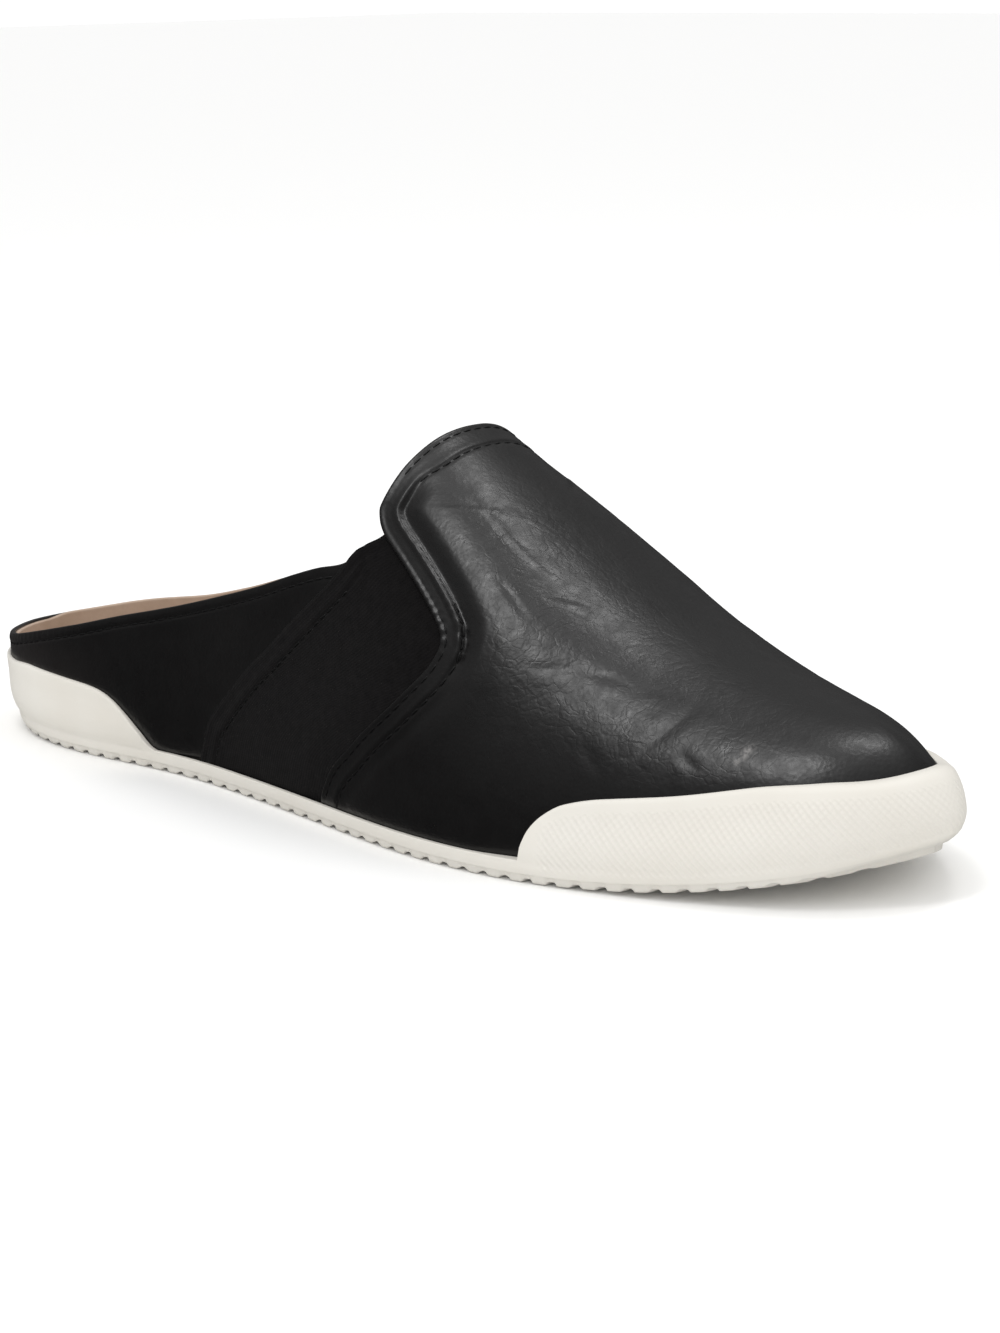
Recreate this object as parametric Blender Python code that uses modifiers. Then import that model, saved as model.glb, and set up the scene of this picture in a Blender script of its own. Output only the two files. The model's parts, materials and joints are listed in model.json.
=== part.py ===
"""Slip-on sneaker mule, right shoe, in metres.

Three pieces: a moulded rubber sole whose toe and heel bumpers are one with it,
a hollow upper that is open at the collar, behind the heel's rim and underneath,
and a footbed. All three are lofted from one last: the sole's outline gives the
foot of each section, a ridge line gives its top, and a superellipse joins them.

Heel to toe is +X, up is +Z, the inner (medial) side is +Y and the outer
(lateral) side is -Y. The origin is the middle of the footprint's box, on the floor.
"""

import math

import bmesh
import bpy
import numpy as np
from mathutils import Matrix

MM = 0.001

# ---- Driving sizes ---------------------------------------------------------
LENGTH = 0.268  # sole, heel to toe
BALL = 0.089  # sole width across the ball of the foot
TOE_SPRING = 0.0101  # lift of the sole's tip above the floor
SPRING_START = 0.70  # share of LENGTH where the lift begins
SPRING_POWER = 2.6  # how late the lift rises
BED = 0.0035  # floor of the cup above the sole's underside
SEAT = 0.0040  # foot of the upper above the sole's underside
GAP = 0.0003  # clearance where two pieces meet
WALL_GAP = 0.0004  # clearance between the upper and the rubber around it
LIP = 0.0045  # top of the rubber edge between the bumpers
UPPER_WALL = 0.0020  # leather, lining and stiffener together
TOE_BACK = 0.0189  # how far the ridge ends behind the tip
TOE_REACH = 0.060  # length of the toe's rounding, from above
HEEL_RUN = 0.0283  # how far the ridge starts ahead of the heel
HEEL_REACH = 0.070  # length of the heel's rounding, from above
END_INSET = 0.0025  # foot of the upper, in from the outline at heel and tip
BULGE_HEIGHT = 0.0218  # height above the foot where the sides swell most
BUMPER_EDGE = 0.0010  # thickness of a bumper's upper edge
TIP_EDGE = 0.0034  # the same at the toe's tip
BUMPER_TAPER = 0.0100  # height over which a bumper thins to that edge
WAIST_LIFT = 0.0010  # hollow under the waist
GROOVE_WIDTH, GROOVE_DEPTH = 0.0018, 0.0010  # flex grooves across the tread

# ---- The sole's outline: shares of LENGTH and of BALL ------------------------
OUTLINE = [
    # x, lateral half width, medial half width
    (0.000, 0.000, 0.000),
    (0.012, 0.144, 0.144),
    (0.045, 0.262, 0.262),
    (0.100, 0.346, 0.344),
    (0.180, 0.372, 0.365),
    (0.290, 0.356, 0.338),
    (0.400, 0.388, 0.312),
    (0.510, 0.444, 0.345),
    (0.610, 0.492, 0.432),
    (0.700, 0.494, 0.500),
    (0.780, 0.447, 0.497),
    (0.855, 0.370, 0.438),
    (0.920, 0.278, 0.339),
    (0.968, 0.164, 0.206),
    (1.000, -0.046, 0.046),
]

# ---- The last's sections: x is a share of LENGTH, z, y and swell are in mm ----
# z and y place the ridge; side and rise are the superellipse's powers along the
# floor and upwards (2 is round, more is squarer); swell pushes the walls out.
SECTIONS = [
    # x, z, y, side, rise, swell
    (0.00, 120.0, 0.5, 2.60, 2.20, 6.4),
    (0.20, 118.0, 0.5, 2.60, 2.20, 5.0),
    (0.35, 108.0, 0.5, 2.50, 2.20, 1.2),
    (0.47, 92.8, 0.5, 2.20, 2.40, 1.5),
    (0.55, 79.7, 0.5, 2.20, 2.40, 1.5),
    (0.63, 65.9, 1.5, 2.20, 2.28, 1.5),
    (0.71, 52.2, 2.2, 2.17, 2.10, 1.5),
    (0.79, 41.5, 3.0, 2.14, 2.10, 1.2),
    (0.86, 36.0, 3.0, 2.14, 2.10, 1.0),
    (0.93, 32.6, 3.0, 2.14, 2.22, 0.8),
    (1.00, 29.4, 3.0, 2.14, 2.34, 0.6),
]

# ---- The topline from the side, in mm: the quarter's rim, then the gore's top --
RIM = [
    # x, z lateral, z medial
    (-6.0, 20.2, 20.2),
    (0.0, 20.9, 20.9),
    (8.0, 22.3, 22.1),
    (20.0, 24.9, 23.4),
    (34.0, 28.1, 26.7),
    (50.0, 31.8, 31.5),
    (66.0, 35.3, 35.2),
    (80.0, 38.6, 38.6),
    (95.0, 42.7, 42.7),
    (110.0, 47.1, 47.1),
    (122.0, 51.2, 51.2),
    (129.5, 53.6, 53.6),
    (136.5, 55.4, 55.4),
    (141.0, 58.5, 58.5),
    (145.0, 62.0, 62.0),
]
# The collar across the instep: e is the share of the ridge's height.
COLLAR = [
    # e, x in mm
    (0.740, 144.9),
    (0.762, 143.2),
    (0.791, 142.0),
    (0.824, 142.0),
    (0.877, 142.6),
    (0.929, 143.3),
    (0.963, 143.9),
    (0.985, 144.3),
    (1.000, 144.4),
]

# ---- Top of the rubber, above its underside, in mm ---------------------------
RUBBER_TOP = [
    # x, height
    (-6.0, 17.2),
    (0.0, 17.3),
    (21.0, 17.8),
    (30.0, 18.5),
    (38.0, 18.2),
    (46.0, 17.7),
    (52.0, 17.2),
    (56.0, 16.5),
    (60.0, 15.0),
    (64.3, 12.0),
    (68.1, 8.5),
    (71.5, 5.0),
    (73.0, 4.5),
    (196.6, 4.5),
    (197.2, 7.4),
    (198.6, 10.9),
    (201.1, 13.7),
    (205.0, 16.0),
    (212.5, 17.5),
    (227.0, 18.3),
    (241.0, 18.9),
    (254.0, 17.7),
    (262.0, 16.4),
    (268.0, 15.6),
]

# ---- Top of the footbed above the sole's underside: x share, height in mm ----
FOOTBED = [
    # x, height, dish
    (0.00, 16.2, 0.3),
    (0.12, 15.8, 1.3),
    (0.30, 14.0, 1.2),
    (0.45, 11.6, 0.8),
    (0.60, 9.4, 0.5),
    (0.72, 8.6, 0.3),
    (0.88, 8.2, 0.1),
    (1.00, 8.0, 0.0),
]

# ---- Along the sole's outline, in mm, by x share ------------------------------
INSET = [
    # x, how far the upper's foot stands in from the outline
    (0.00, 2.5),
    (0.20, 2.5),
    (0.28, 1.1),
    (0.68, 1.1),
    (0.74, 2.5),
    (1.00, 2.5),
]
EDGE_ROUND = [
    # x, how far the underside stops short of the outline
    (0.00, 1.9),
    (0.10, 1.3),
    (0.20, 0.6),
    (0.80, 0.6),
    (0.92, 1.2),
    (1.00, 1.9),
]

GROOVES = [0.080, 0.140, 0.200, 0.500, 0.560, 0.620, 0.680, 0.740]  # x shares

COLUMNS = 46  # sections per side before those added at the bumpers' ends
EXTRA_SECTIONS_MM = [60.5, 64.3, 68.1, 71.5, 196.7, 197.3, 198.6, 201.1, 205.0]
WALL_ROWS = 5  # rows up a bumper
UPPER_ROWS = 10  # rows up the upper
QUARTER_COLUMNS, COLLAR_COLUMNS, VAMP_COLUMNS = 9, 6, 3  # of the upper, between the bumpers
CORNER_FOOT, THROAT_FOOT = 0.150, 0.176  # where the columns that end at the collar stand
COLLAR_SWING = 0.020  # how far those columns swing forward, as a share of the outline


# ---- Curves ------------------------------------------------------------------
def natural_curve(xs, ys):
    """The smooth curve through the points, straight at both ends."""
    xs, ys = np.asarray(xs, float), np.asarray(ys, float)
    n, h = len(xs), np.diff(xs)
    a, b = np.eye(n), np.zeros(n)
    for i in range(1, n - 1):
        a[i, i - 1 : i + 2] = h[i - 1], 2 * (h[i - 1] + h[i]), h[i]
        b[i] = 6 * ((ys[i + 1] - ys[i]) / h[i] - (ys[i] - ys[i - 1]) / h[i - 1])
    m = np.linalg.solve(a, b)

    def at(x):
        x = np.clip(np.asarray(x, float), xs[0], xs[-1])
        i = np.clip(np.searchsorted(xs, x, side="right") - 1, 0, n - 2)
        p, q = xs[i + 1] - x, x - xs[i]
        return (
            (m[i] * p**3 + m[i + 1] * q**3) / (6 * h[i])
            + (ys[i] / h[i] - m[i] * h[i] / 6) * p
            + (ys[i + 1] / h[i] - m[i + 1] * h[i] / 6) * q
        )

    return at


def steady_curve(xs, ys):
    """A smooth curve through the points that never overshoots them."""
    xs, ys = np.asarray(xs, float), np.asarray(ys, float)
    h = np.diff(xs)
    d = np.diff(ys) / h
    m = np.zeros(len(xs))
    m[0], m[-1] = d[0], d[-1]
    for i in range(1, len(xs) - 1):
        if d[i - 1] * d[i] > 0:
            u, v = 2 * h[i] + h[i - 1], h[i] + 2 * h[i - 1]
            m[i] = (u + v) / (u / d[i - 1] + v / d[i])

    def at(x):
        x = np.clip(np.asarray(x, float), xs[0], xs[-1])
        i = np.clip(np.searchsorted(xs, x, side="right") - 1, 0, len(xs) - 2)
        t = (x - xs[i]) / h[i]
        return (
            (2 * t**3 - 3 * t**2 + 1) * ys[i]
            + (t**3 - 2 * t**2 + t) * h[i] * m[i]
            + (3 * t**2 - 2 * t**3) * ys[i + 1]
            + (t**3 - t**2) * h[i] * m[i + 1]
        )

    return at


def closed_curve(points):
    """The smooth closed curve through the points, and the value at each point."""
    p = np.asarray(points, float)
    n = len(p)
    h = np.sqrt(np.linalg.norm(np.roll(p, -1, 0) - p, axis=1))
    knots = np.concatenate([[0], np.cumsum(h)])
    a, b = np.zeros((n, n)), np.zeros((n, 2))
    for i in range(n):
        j, k = (i - 1) % n, (i + 1) % n
        a[i, j] += h[j]
        a[i, i] += 2 * (h[j] + h[i])
        a[i, k] += h[i]
        b[i] = 6 * ((p[k] - p[i]) / h[i] - (p[i] - p[j]) / h[j])
    m = np.linalg.solve(a, b)

    def at(t):
        t = np.mod(t, knots[-1])
        i = np.clip(np.searchsorted(knots, t, side="right") - 1, 0, n - 1)
        k = (i + 1) % n
        w, u, v = h[i][:, None], (knots[i + 1] - t)[:, None], (t - knots[i])[:, None]
        return (
            (m[i] * u**3 + m[k] * v**3) / (6 * w)
            + (p[i] / w - m[i] * w / 6) * u
            + (p[k] / w - m[k] * w / 6) * v
        )

    return at, knots


# ---- The last ------------------------------------------------------------------
LATERAL, MEDIAL = -1, 1


def make_edges(count=1201):
    """Each side's outline from heel to tip: share of its length, points, outward normals."""
    lateral = [(r[0] * LENGTH, -r[1] * BALL) for r in OUTLINE]
    medial = [(r[0] * LENGTH, r[2] * BALL) for r in OUTLINE[1:-1]]
    at, knots = closed_curve(lateral + medial[::-1])
    tip = knots[len(OUTLINE) - 1]
    found = {}
    for side, start in ((LATERAL, 0.0), (MEDIAL, knots[-1])):
        line = at(np.linspace(start, tip, count))
        along = np.gradient(line, axis=0)
        along /= np.linalg.norm(along, axis=1)[:, None]
        normal = np.column_stack([along[:, 1], -along[:, 0]]) * -side
        normal[0], normal[-1] = (-1, 0), (1, 0)
        run = np.concatenate([[0], np.cumsum(np.linalg.norm(np.diff(line, axis=0), axis=1))])
        even = np.linspace(0, run[-1], count)
        found[side] = (
            even / run[-1],
            np.column_stack([np.interp(even, run, line[:, i]) for i in (0, 1)]),
            np.column_stack([np.interp(even, run, normal[:, i]) for i in (0, 1)]),
        )
    return found


EDGES = make_edges()
SECTION = np.array(SECTIONS)
ridge_z = natural_curve(SECTION[:, 0] * LENGTH, SECTION[:, 1] * MM)
ridge_y = natural_curve(SECTION[:, 0] * LENGTH, SECTION[:, 2] * MM)
side_power = steady_curve(SECTION[:, 0] * LENGTH, SECTION[:, 3])
rise_power = steady_curve(SECTION[:, 0] * LENGTH, SECTION[:, 4])
swell = steady_curve(SECTION[:, 0] * LENGTH, SECTION[:, 5] * MM)
inset = steady_curve([r[0] * LENGTH for r in INSET], [r[1] * MM for r in INSET])
rubber_top = steady_curve([r[0] * MM for r in RUBBER_TOP], [r[1] * MM for r in RUBBER_TOP])
footbed_top = natural_curve([r[0] * LENGTH for r in FOOTBED], [r[1] * MM for r in FOOTBED])
footbed_dish = natural_curve([r[0] * LENGTH for r in FOOTBED], [r[2] * MM for r in FOOTBED])
edge_round = steady_curve([r[0] * LENGTH for r in EDGE_ROUND], [r[1] * MM for r in EDGE_ROUND])


RIM_Z = {
    side: steady_curve([r[0] * MM for r in RIM], [r[column] * MM for r in RIM])
    for side, column in ((LATERAL, 1), (MEDIAL, 2))
}


def bumper_edge(x):
    """Thickness of a bumper's upper edge: thin on the sides, thick at the toe's tip."""
    t = np.clip((np.asarray(x, float) - 0.236) / (0.263 - 0.236), 0, 1)
    return BUMPER_EDGE + (TIP_EDGE - BUMPER_EDGE) * t * t * (3 - 2 * t)


def underside(x):
    """Height of the sole's underside: on the floor, then up in the toe spring."""
    t = np.clip((np.asarray(x, float) / LENGTH - SPRING_START) / (1 - SPRING_START), 0, 1)
    return TOE_SPRING * t**SPRING_POWER


def plan(side, a, out=0.0):
    """Point and outward normal at share a of one side's outline, moved out by out."""
    share, line, normal = EDGES[side]
    n = [np.interp(a, share, normal[:, i]) for i in (0, 1)]
    p = [np.interp(a, share, line[:, i]) + n[i] * out for i in (0, 1)]
    return p[0], p[1], n[0], n[1]


def foot_line(side):
    """The upper's foot along one side, at the outline's own shares."""
    _, line, normal = EDGES[side]
    return line - normal * inset(line[:, 0])[:, None]


FEET = {side: foot_line(side) for side in (LATERAL, MEDIAL)}


def foot_at(side, a):
    """The upper's foot at share a of one side's outline."""
    share = EDGES[side][0]
    return np.interp(a, share, FEET[side][:, 0]), np.interp(a, share, FEET[side][:, 1])


def share_at(side, x):
    """The share of one side's outline whose foot lies at x."""
    return float(np.interp(x, FEET[side][:, 0], EDGES[side][0]))


def ridge_x(x):
    """Where on the ridge the section from foot position x ends."""
    t = np.clip((x - (LENGTH - END_INSET - TOE_REACH)) / TOE_REACH, 0, 1)
    u = np.clip(1 - (x - END_INSET) / HEEL_REACH, 0, 1)
    return x - TOE_BACK * t**2 + HEEL_RUN * u**2


def last(side, a, turn):
    """Point on the upper's outer surface: turn 0 is its foot, pi/2 is the ridge."""
    a, turn = np.broadcast_arrays(np.asarray(a, float), np.asarray(turn, float))
    x, y = foot_at(side, a)
    foot = underside(x) + SEAT
    rx = ridge_x(x)
    ry, rz = ridge_y(rx), ridge_z(rx)
    fall = (ridge_z(rx + 1e-4) - ridge_z(rx - 1e-4)) / 2e-4 * (rx - x)
    across = 1 - np.clip(np.cos(turn), 0, 1) ** (2 / side_power(rx))
    upward = np.clip(np.sin(turn), 0, 1) ** (2 / rise_power(rx))
    z = foot + (rz - foot - fall) * upward + fall * across
    h = (rz - foot) * upward / BULGE_HEIGHT
    push = swell(rx) * h * np.exp(1 - h) * (1 - upward) ** 2
    w = across - push / np.maximum(np.hypot(rx - x, ry - y), 1e-6)
    return np.stack([x + (rx - x) * w, y + (ry - y) * w, z], -1)


def turn_at(side, a, level, most=math.pi / 2):
    """The turn at which a section reaches level(x), a function of the point's x."""
    low, high = np.zeros_like(a), np.full_like(a, most)
    for _ in range(36):
        middle = (low + high) / 2
        p = last(side, a, middle)
        under = p[..., 2] < level(p[..., 0])
        low, high = np.where(under, middle, low), np.where(under, high, middle)
    return (low + high) / 2


# ---- Meshes --------------------------------------------------------------------
class Loft:
    """Collects a grid's points and faces, joining points that coincide."""

    def __init__(self):
        self.points, self.faces, self.known = [], [], {}

    def point(self, p):
        key = tuple(int(round(c * 2e5)) for c in p)
        if key not in self.known:
            self.known[key] = len(self.points)
            self.points.append([float(c) for c in p])
        return self.known[key]

    def face(self, *corners):
        ring = []
        for c in corners:
            if c not in ring:
                ring.append(c)
        if len(ring) > 2:
            self.faces.append(ring)

    def grid(self, columns, flip):
        ids = [[self.point(p) for p in column] for column in columns]
        for left, right in zip(ids, ids[1:]):
            for i in range(len(left) - 1):
                ring = (left[i], right[i], right[i + 1], left[i + 1])
                self.face(*(ring[::-1] if flip else ring))
        return ids

    def mesh(self, name, shift):
        mesh = bpy.data.meshes.new(name)
        mesh.from_pydata([tuple(np.array(p) + shift) for p in self.points], [], self.faces)
        work = bmesh.new()
        work.from_mesh(mesh)
        bmesh.ops.recalc_face_normals(work, faces=work.faces)
        work.to_mesh(mesh)
        work.free()
        return mesh


def stations():
    """Pairs of outline shares, lateral and medial, heel to tip: closer together at
    both ends and where a bumper starts or stops."""
    even = np.linspace(0, 1, COLUMNS)
    base = 0.55 * even + 0.45 * (1 - np.cos(math.pi * even)) / 2
    added = [
        (share_at(LATERAL, x * MM), share_at(MEDIAL, x * MM))
        for x in EXTRA_SECTIONS_MM
    ]
    kept = [
        (a, a)
        for a in base
        if min(max(abs(a - b[0]), abs(a - b[1])) for b in added) > 0.009
        and not any((a - b[0]) * (a - b[1]) <= 0 for b in added)
    ]
    return np.array(sorted(kept + added))


STATIONS = stations()


def across_rungs(loft, left, right, shares, height, upward):
    """Joins two rows of points, one on each side, by rungs whose points lie at height(x, share)."""
    columns = []
    for a, b in zip(left, right):
        rung = [a]
        for s in shares:
            p = a + (b - a) * s
            p[2] = height(p[0], s)
            rung.append(p)
        rung.append(b)
        columns.append(rung)
    loft.grid(columns, upward)


def sole_columns(side):
    """Each section's points, from the underside's edge, up the outer wall, over the
    top and down the inner wall to the bed."""
    columns = []
    for a in STATIONS[:, 0 if side == LATERAL else 1]:
        x, y, nx, ny = plan(side, a)
        base, rounding = float(underside(x)), float(edge_round(x))
        rows = []

        def ring(out, height, _x=x, _y=y, _nx=nx, _ny=ny, _base=base, _rows=rows):
            _rows.append(np.array([_x + _nx * out, _y + _ny * out, _base + height]))

        ring(-rounding, 0.0)
        ring(-0.55 * rounding, 0.0005)
        ring(-0.25 * rounding, 0.0016)
        top = float(rubber_top(x))
        level = base + top
        end = float(turn_at(side, np.array([a]), lambda _x, _l=level: _l + 0 * _x)[0])
        turns = end * np.linspace(0, 1, WALL_ROWS + 1)
        wall = last(side, np.full(len(turns), a), turns)
        rise = np.clip((wall[:, 2] - base - LIP) / BUMPER_TAPER, 0, 1)
        own = float(inset(x))
        thick = own + (min(float(bumper_edge(x)), own + 0.001) - own) * rise
        outward = np.array([nx, ny, 0.0])
        for p, t in zip(wall[:-1], thick[:-1]):
            rows.append(p + outward * t)
        crest = wall[-1]
        drop = np.array([0, 0, 0.0004 if top > 2 * LIP else 0.0002])
        rows.append(crest + outward * thick[-1] - drop)
        rows.append(crest + outward * (0.75 * thick[-1]))
        rows.append(crest + outward * WALL_GAP)
        for p in wall[-2:0:-1]:
            rows.append(p + outward * WALL_GAP)
        rows.append(np.array([wall[0][0] + nx * WALL_GAP, wall[0][1] + ny * WALL_GAP, base + BED]))
        columns.append(rows)
    return columns


def make_sole():
    loft = Loft()
    lateral, medial = sole_columns(LATERAL), sole_columns(MEDIAL)
    medial[0], medial[-1] = lateral[0], lateral[-1]
    loft.grid(lateral, False)
    loft.grid(medial, True)

    def waist(x, s):
        t = np.clip((x / LENGTH - 0.27) / 0.20, 0, 1)
        return underside(x) + (WAIST_LIFT * math.sin(math.pi * t) ** 2 if s == 0.5 else 0.0)

    across_rungs(loft, [c[0] for c in lateral], [c[0] for c in medial], (0.18, 0.5, 0.82), waist, True)
    across_rungs(
        loft,
        [c[-1] for c in lateral],
        [c[-1] for c in medial],
        (0.5,),
        lambda x, s: underside(x) + BED,
        False,
    )
    return loft


def collar_line(count):
    """Foot position and turn along the collar, from the gore's corner to the ridge."""
    table = np.array(COLLAR)
    e = 1 - (1 - table[0, 0]) * (1 - np.linspace(0, 1, count)) ** 2
    x = steady_curve(table[:, 0], table[:, 1] * MM)(e)
    return x, np.arcsin(np.clip(e, 0, 1) ** (rise_power(x) / 2))


def upper_feet():
    """Pairs of outline shares for the upper's columns: the sole's own stations along
    the bumpers, and between them the quarter's, the collar's and the vamp's own."""
    lateral = STATIONS[:, 0]
    heel = STATIONS[lateral <= share_at(LATERAL, 0.0720)]
    toe = STATIONS[lateral >= share_at(LATERAL, 0.1960)]
    start = float(foot_at(LATERAL, heel[-1, 0])[0])
    runs = [
        (start, CORNER_FOOT, QUARTER_COLUMNS),
        (CORNER_FOOT, THROAT_FOOT, COLLAR_COLUMNS),
        (THROAT_FOOT, 0.1960, VAMP_COLUMNS),
    ]
    middle = [
        (share_at(LATERAL, x), share_at(MEDIAL, x))
        for low, high, count in runs
        for x in np.linspace(low, high, count + 1)[1:]
    ]
    if toe[0, 0] - middle[-1][0] < 0.006:
        middle.pop()
    return np.array(heel.tolist() + middle + toe.tolist()), len(heel) - 1 + QUARTER_COLUMNS


def upper_columns(side):
    """Columns of points from the upper's foot to its rim, to the collar, or to the ridge.

    Columns that end at the collar swing forward on the way, so that they meet its
    edge from the front and don't cross the gore's corner."""
    pairs, corner = upper_feet()
    feet = pairs[:, 0 if side == LATERAL else 1]
    count, throat = len(feet), corner + COLLAR_COLUMNS
    collar_x, collar_turn = collar_line(COLLAR_COLUMNS + 1)
    rows = np.linspace(0, 1, UPPER_ROWS + 1)

    def column(foot, top, turn, swing=0.0):
        a = foot + (top - foot) * rows + swing * 2 * rows * (1 - rows)
        return last(side, a, turn * rows**1.1)

    corner_share = share_at(side, collar_x[0])
    tops = feet[: corner + 1] * (corner_share / feet[corner])
    turns = turn_at(side, tops, RIM_Z[side])
    columns = [column(feet[k], tops[k], turns[k]) for k in range(corner + 1)]
    for k in range(1, COLLAR_COLUMNS + 1):
        columns.append(
            column(feet[corner + k], share_at(side, collar_x[k]), collar_turn[k], COLLAR_SWING)
        )
    start = share_at(LATERAL, collar_x[-1])
    for k in range(throat + 1, count):
        # Both sides end in the same ridge points, spaced as the lateral feet are.
        t = (pairs[k, 0] - pairs[throat, 0]) / (1 - pairs[throat, 0])
        x = float(foot_at(LATERAL, start + (1 - start) * t)[0])
        top = 1.0 if k == count - 1 else share_at(side, x)
        columns.append(column(feet[k], top, math.pi / 2, COLLAR_SWING * (1 - t) ** 3))
    return columns, throat


def make_upper():
    loft = Loft()
    (lateral, throat), (medial, _) = upper_columns(LATERAL), upper_columns(MEDIAL)
    medial[0], medial[-1] = lateral[0], lateral[-1]
    for k in range(throat, len(lateral)):
        medial[k][-1] = lateral[k][-1]
    loft.grid(lateral, False)
    loft.grid(medial, True)
    return loft


def make_footbed():
    loft = Loft()
    sides = {}
    inward = UPPER_WALL + 0.0006
    for side in (LATERAL, MEDIAL):
        columns = []
        for a in STATIONS[:, 0 if side == LATERAL else 1]:
            _, _, nx, ny = plan(side, a)
            outward = np.array([nx, ny, 0.0])
            x = float(foot_at(side, a)[0])
            base = float(underside(x))
            top = base + float(footbed_top(x))
            turns = turn_at(
                side, np.array([a, a]), lambda _x, _t=top: np.array([(_t + base) / 2 + 0.002, _t - 0.0010])
            )
            foot, waist, shoulder = last(side, np.full(3, a), np.array([0.0, turns[0], turns[1]]))
            foot = foot - outward * inward
            foot[2] = base + BED + GAP
            crown = shoulder - outward * (inward + 0.0012)
            crown[2] = top
            columns.append([foot, waist - outward * inward, shoulder - outward * inward, crown])
        sides[side] = columns
    lateral, medial = sides[LATERAL], sides[MEDIAL]
    medial[0], medial[-1] = lateral[0], lateral[-1]
    loft.grid(lateral, False)
    loft.grid(medial, True)
    across_rungs(
        loft,
        [c[0] for c in lateral],
        [c[0] for c in medial],
        (0.5,),
        lambda x, s: underside(x) + BED + GAP,
        True,
    )
    across_rungs(
        loft,
        [c[-1] for c in lateral],
        [c[-1] for c in medial],
        (0.25, 0.5, 0.75),
        lambda x, s: underside(x) + footbed_top(x) - footbed_dish(x) * (1 if s == 0.5 else 0.7),
        False,
    )
    return loft


# ---- Scene ---------------------------------------------------------------------
def finish(name, colour, roughness):
    """A plain surface of one colour."""
    material = bpy.data.materials.new(name)
    material.use_nodes = True
    surface = material.node_tree.nodes["Principled BSDF"]
    surface.inputs["Base Color"].default_value = (*colour, 1.0)
    surface.inputs["Roughness"].default_value = roughness
    surface.inputs["Metallic"].default_value = 0.0
    return material


def place(name, mesh, material, collection, parent, height):
    """The mesh as an object that stands at height above the floor."""
    mesh.transform(Matrix.Translation((0, 0, -height)))
    mesh.materials.append(material)
    obj = bpy.data.objects.new(name, mesh)
    collection.objects.link(obj)
    obj.parent = parent
    obj.location = (0, 0, height)
    mesh.shade_smooth()
    mesh.set_sharp_from_angle(angle=math.radians(40))
    return obj


def cut_groove(sole, x, reach, cutters):
    """One flex groove across the tread, cut by a bar that is longer than the sole is wide."""
    work = bmesh.new()
    bmesh.ops.create_cube(work, size=1.0)
    bmesh.ops.scale(work, vec=(GROOVE_WIDTH, reach, 2 * GROOVE_DEPTH), verts=work.verts)
    mesh = bpy.data.meshes.new("groove_bar")
    work.to_mesh(mesh)
    work.free()
    bar = bpy.data.objects.new("groove_bar", mesh)
    bar.location = (x, 0, 0)
    bar.hide_render = True
    bar.display_type = "WIRE"
    cutters.objects.link(bar)
    cut = sole.modifiers.new("groove", "BOOLEAN")
    cut.operation = "DIFFERENCE"
    cut.object = bar


def main():
    for obj in list(bpy.data.objects):
        bpy.data.objects.remove(obj, do_unlink=True)
    shoe = bpy.data.collections.new("sneaker_mule")
    cutters = bpy.data.collections.new("cutters")
    for collection in (shoe, cutters):
        bpy.context.scene.collection.children.link(collection)
    centre = bpy.data.objects.new("sneaker_mule_origin", None)
    shoe.objects.link(centre)

    lofts = {"outsole": make_sole(), "upper": make_upper(), "insole": make_footbed()}
    spread = np.array([p for loft in lofts.values() for p in loft.points])
    low, high = spread.min(axis=0), spread.max(axis=0)
    shift = np.array([-(low[0] + high[0]) / 2, -(low[1] + high[1]) / 2, 0.0])
    print("origin lies at", -shift / MM, "mm from the outline's heel point")

    sole = place(
        "outsole",
        lofts["outsole"].mesh("outsole", shift),
        finish("off_white_rubber", (0.86, 0.83, 0.77), 0.55),
        shoe,
        centre,
        0.0,
    )
    for share in GROOVES:
        cut_groove(sole, share * LENGTH + shift[0], 2 * BALL, cutters)

    upper = place(
        "upper",
        lofts["upper"].mesh("upper", shift),
        finish("black_leather", (0.012, 0.011, 0.011), 0.38),
        shoe,
        centre,
        BED + GAP,
    )
    shell = upper.modifiers.new("wall", "SOLIDIFY")
    shell.thickness = UPPER_WALL
    shell.offset = -1.0

    place(
        "insole",
        lofts["insole"].mesh("insole", shift),
        finish("tan_lining", (0.55, 0.40, 0.30), 0.75),
        shoe,
        centre,
        BED + GAP,
    )


main()
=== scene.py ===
"""The looks of the sneaker mule, a right shoe, in metres.

Every panel is laid on the last: a point is named by t, the share of the outer
(lateral) side's outline under it, and v, which runs from -1 at the outer side's
foot over 0 on the ridge to 1 at the inner side's foot. A panel's height above
the last, in metres, gives its folds, puffs, grooves and creases.
"""

import json
import math

import bmesh
import bpy
import numpy as np
from mathutils import Matrix, Vector, noise
from mathutils.kdtree import KDTree

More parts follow.
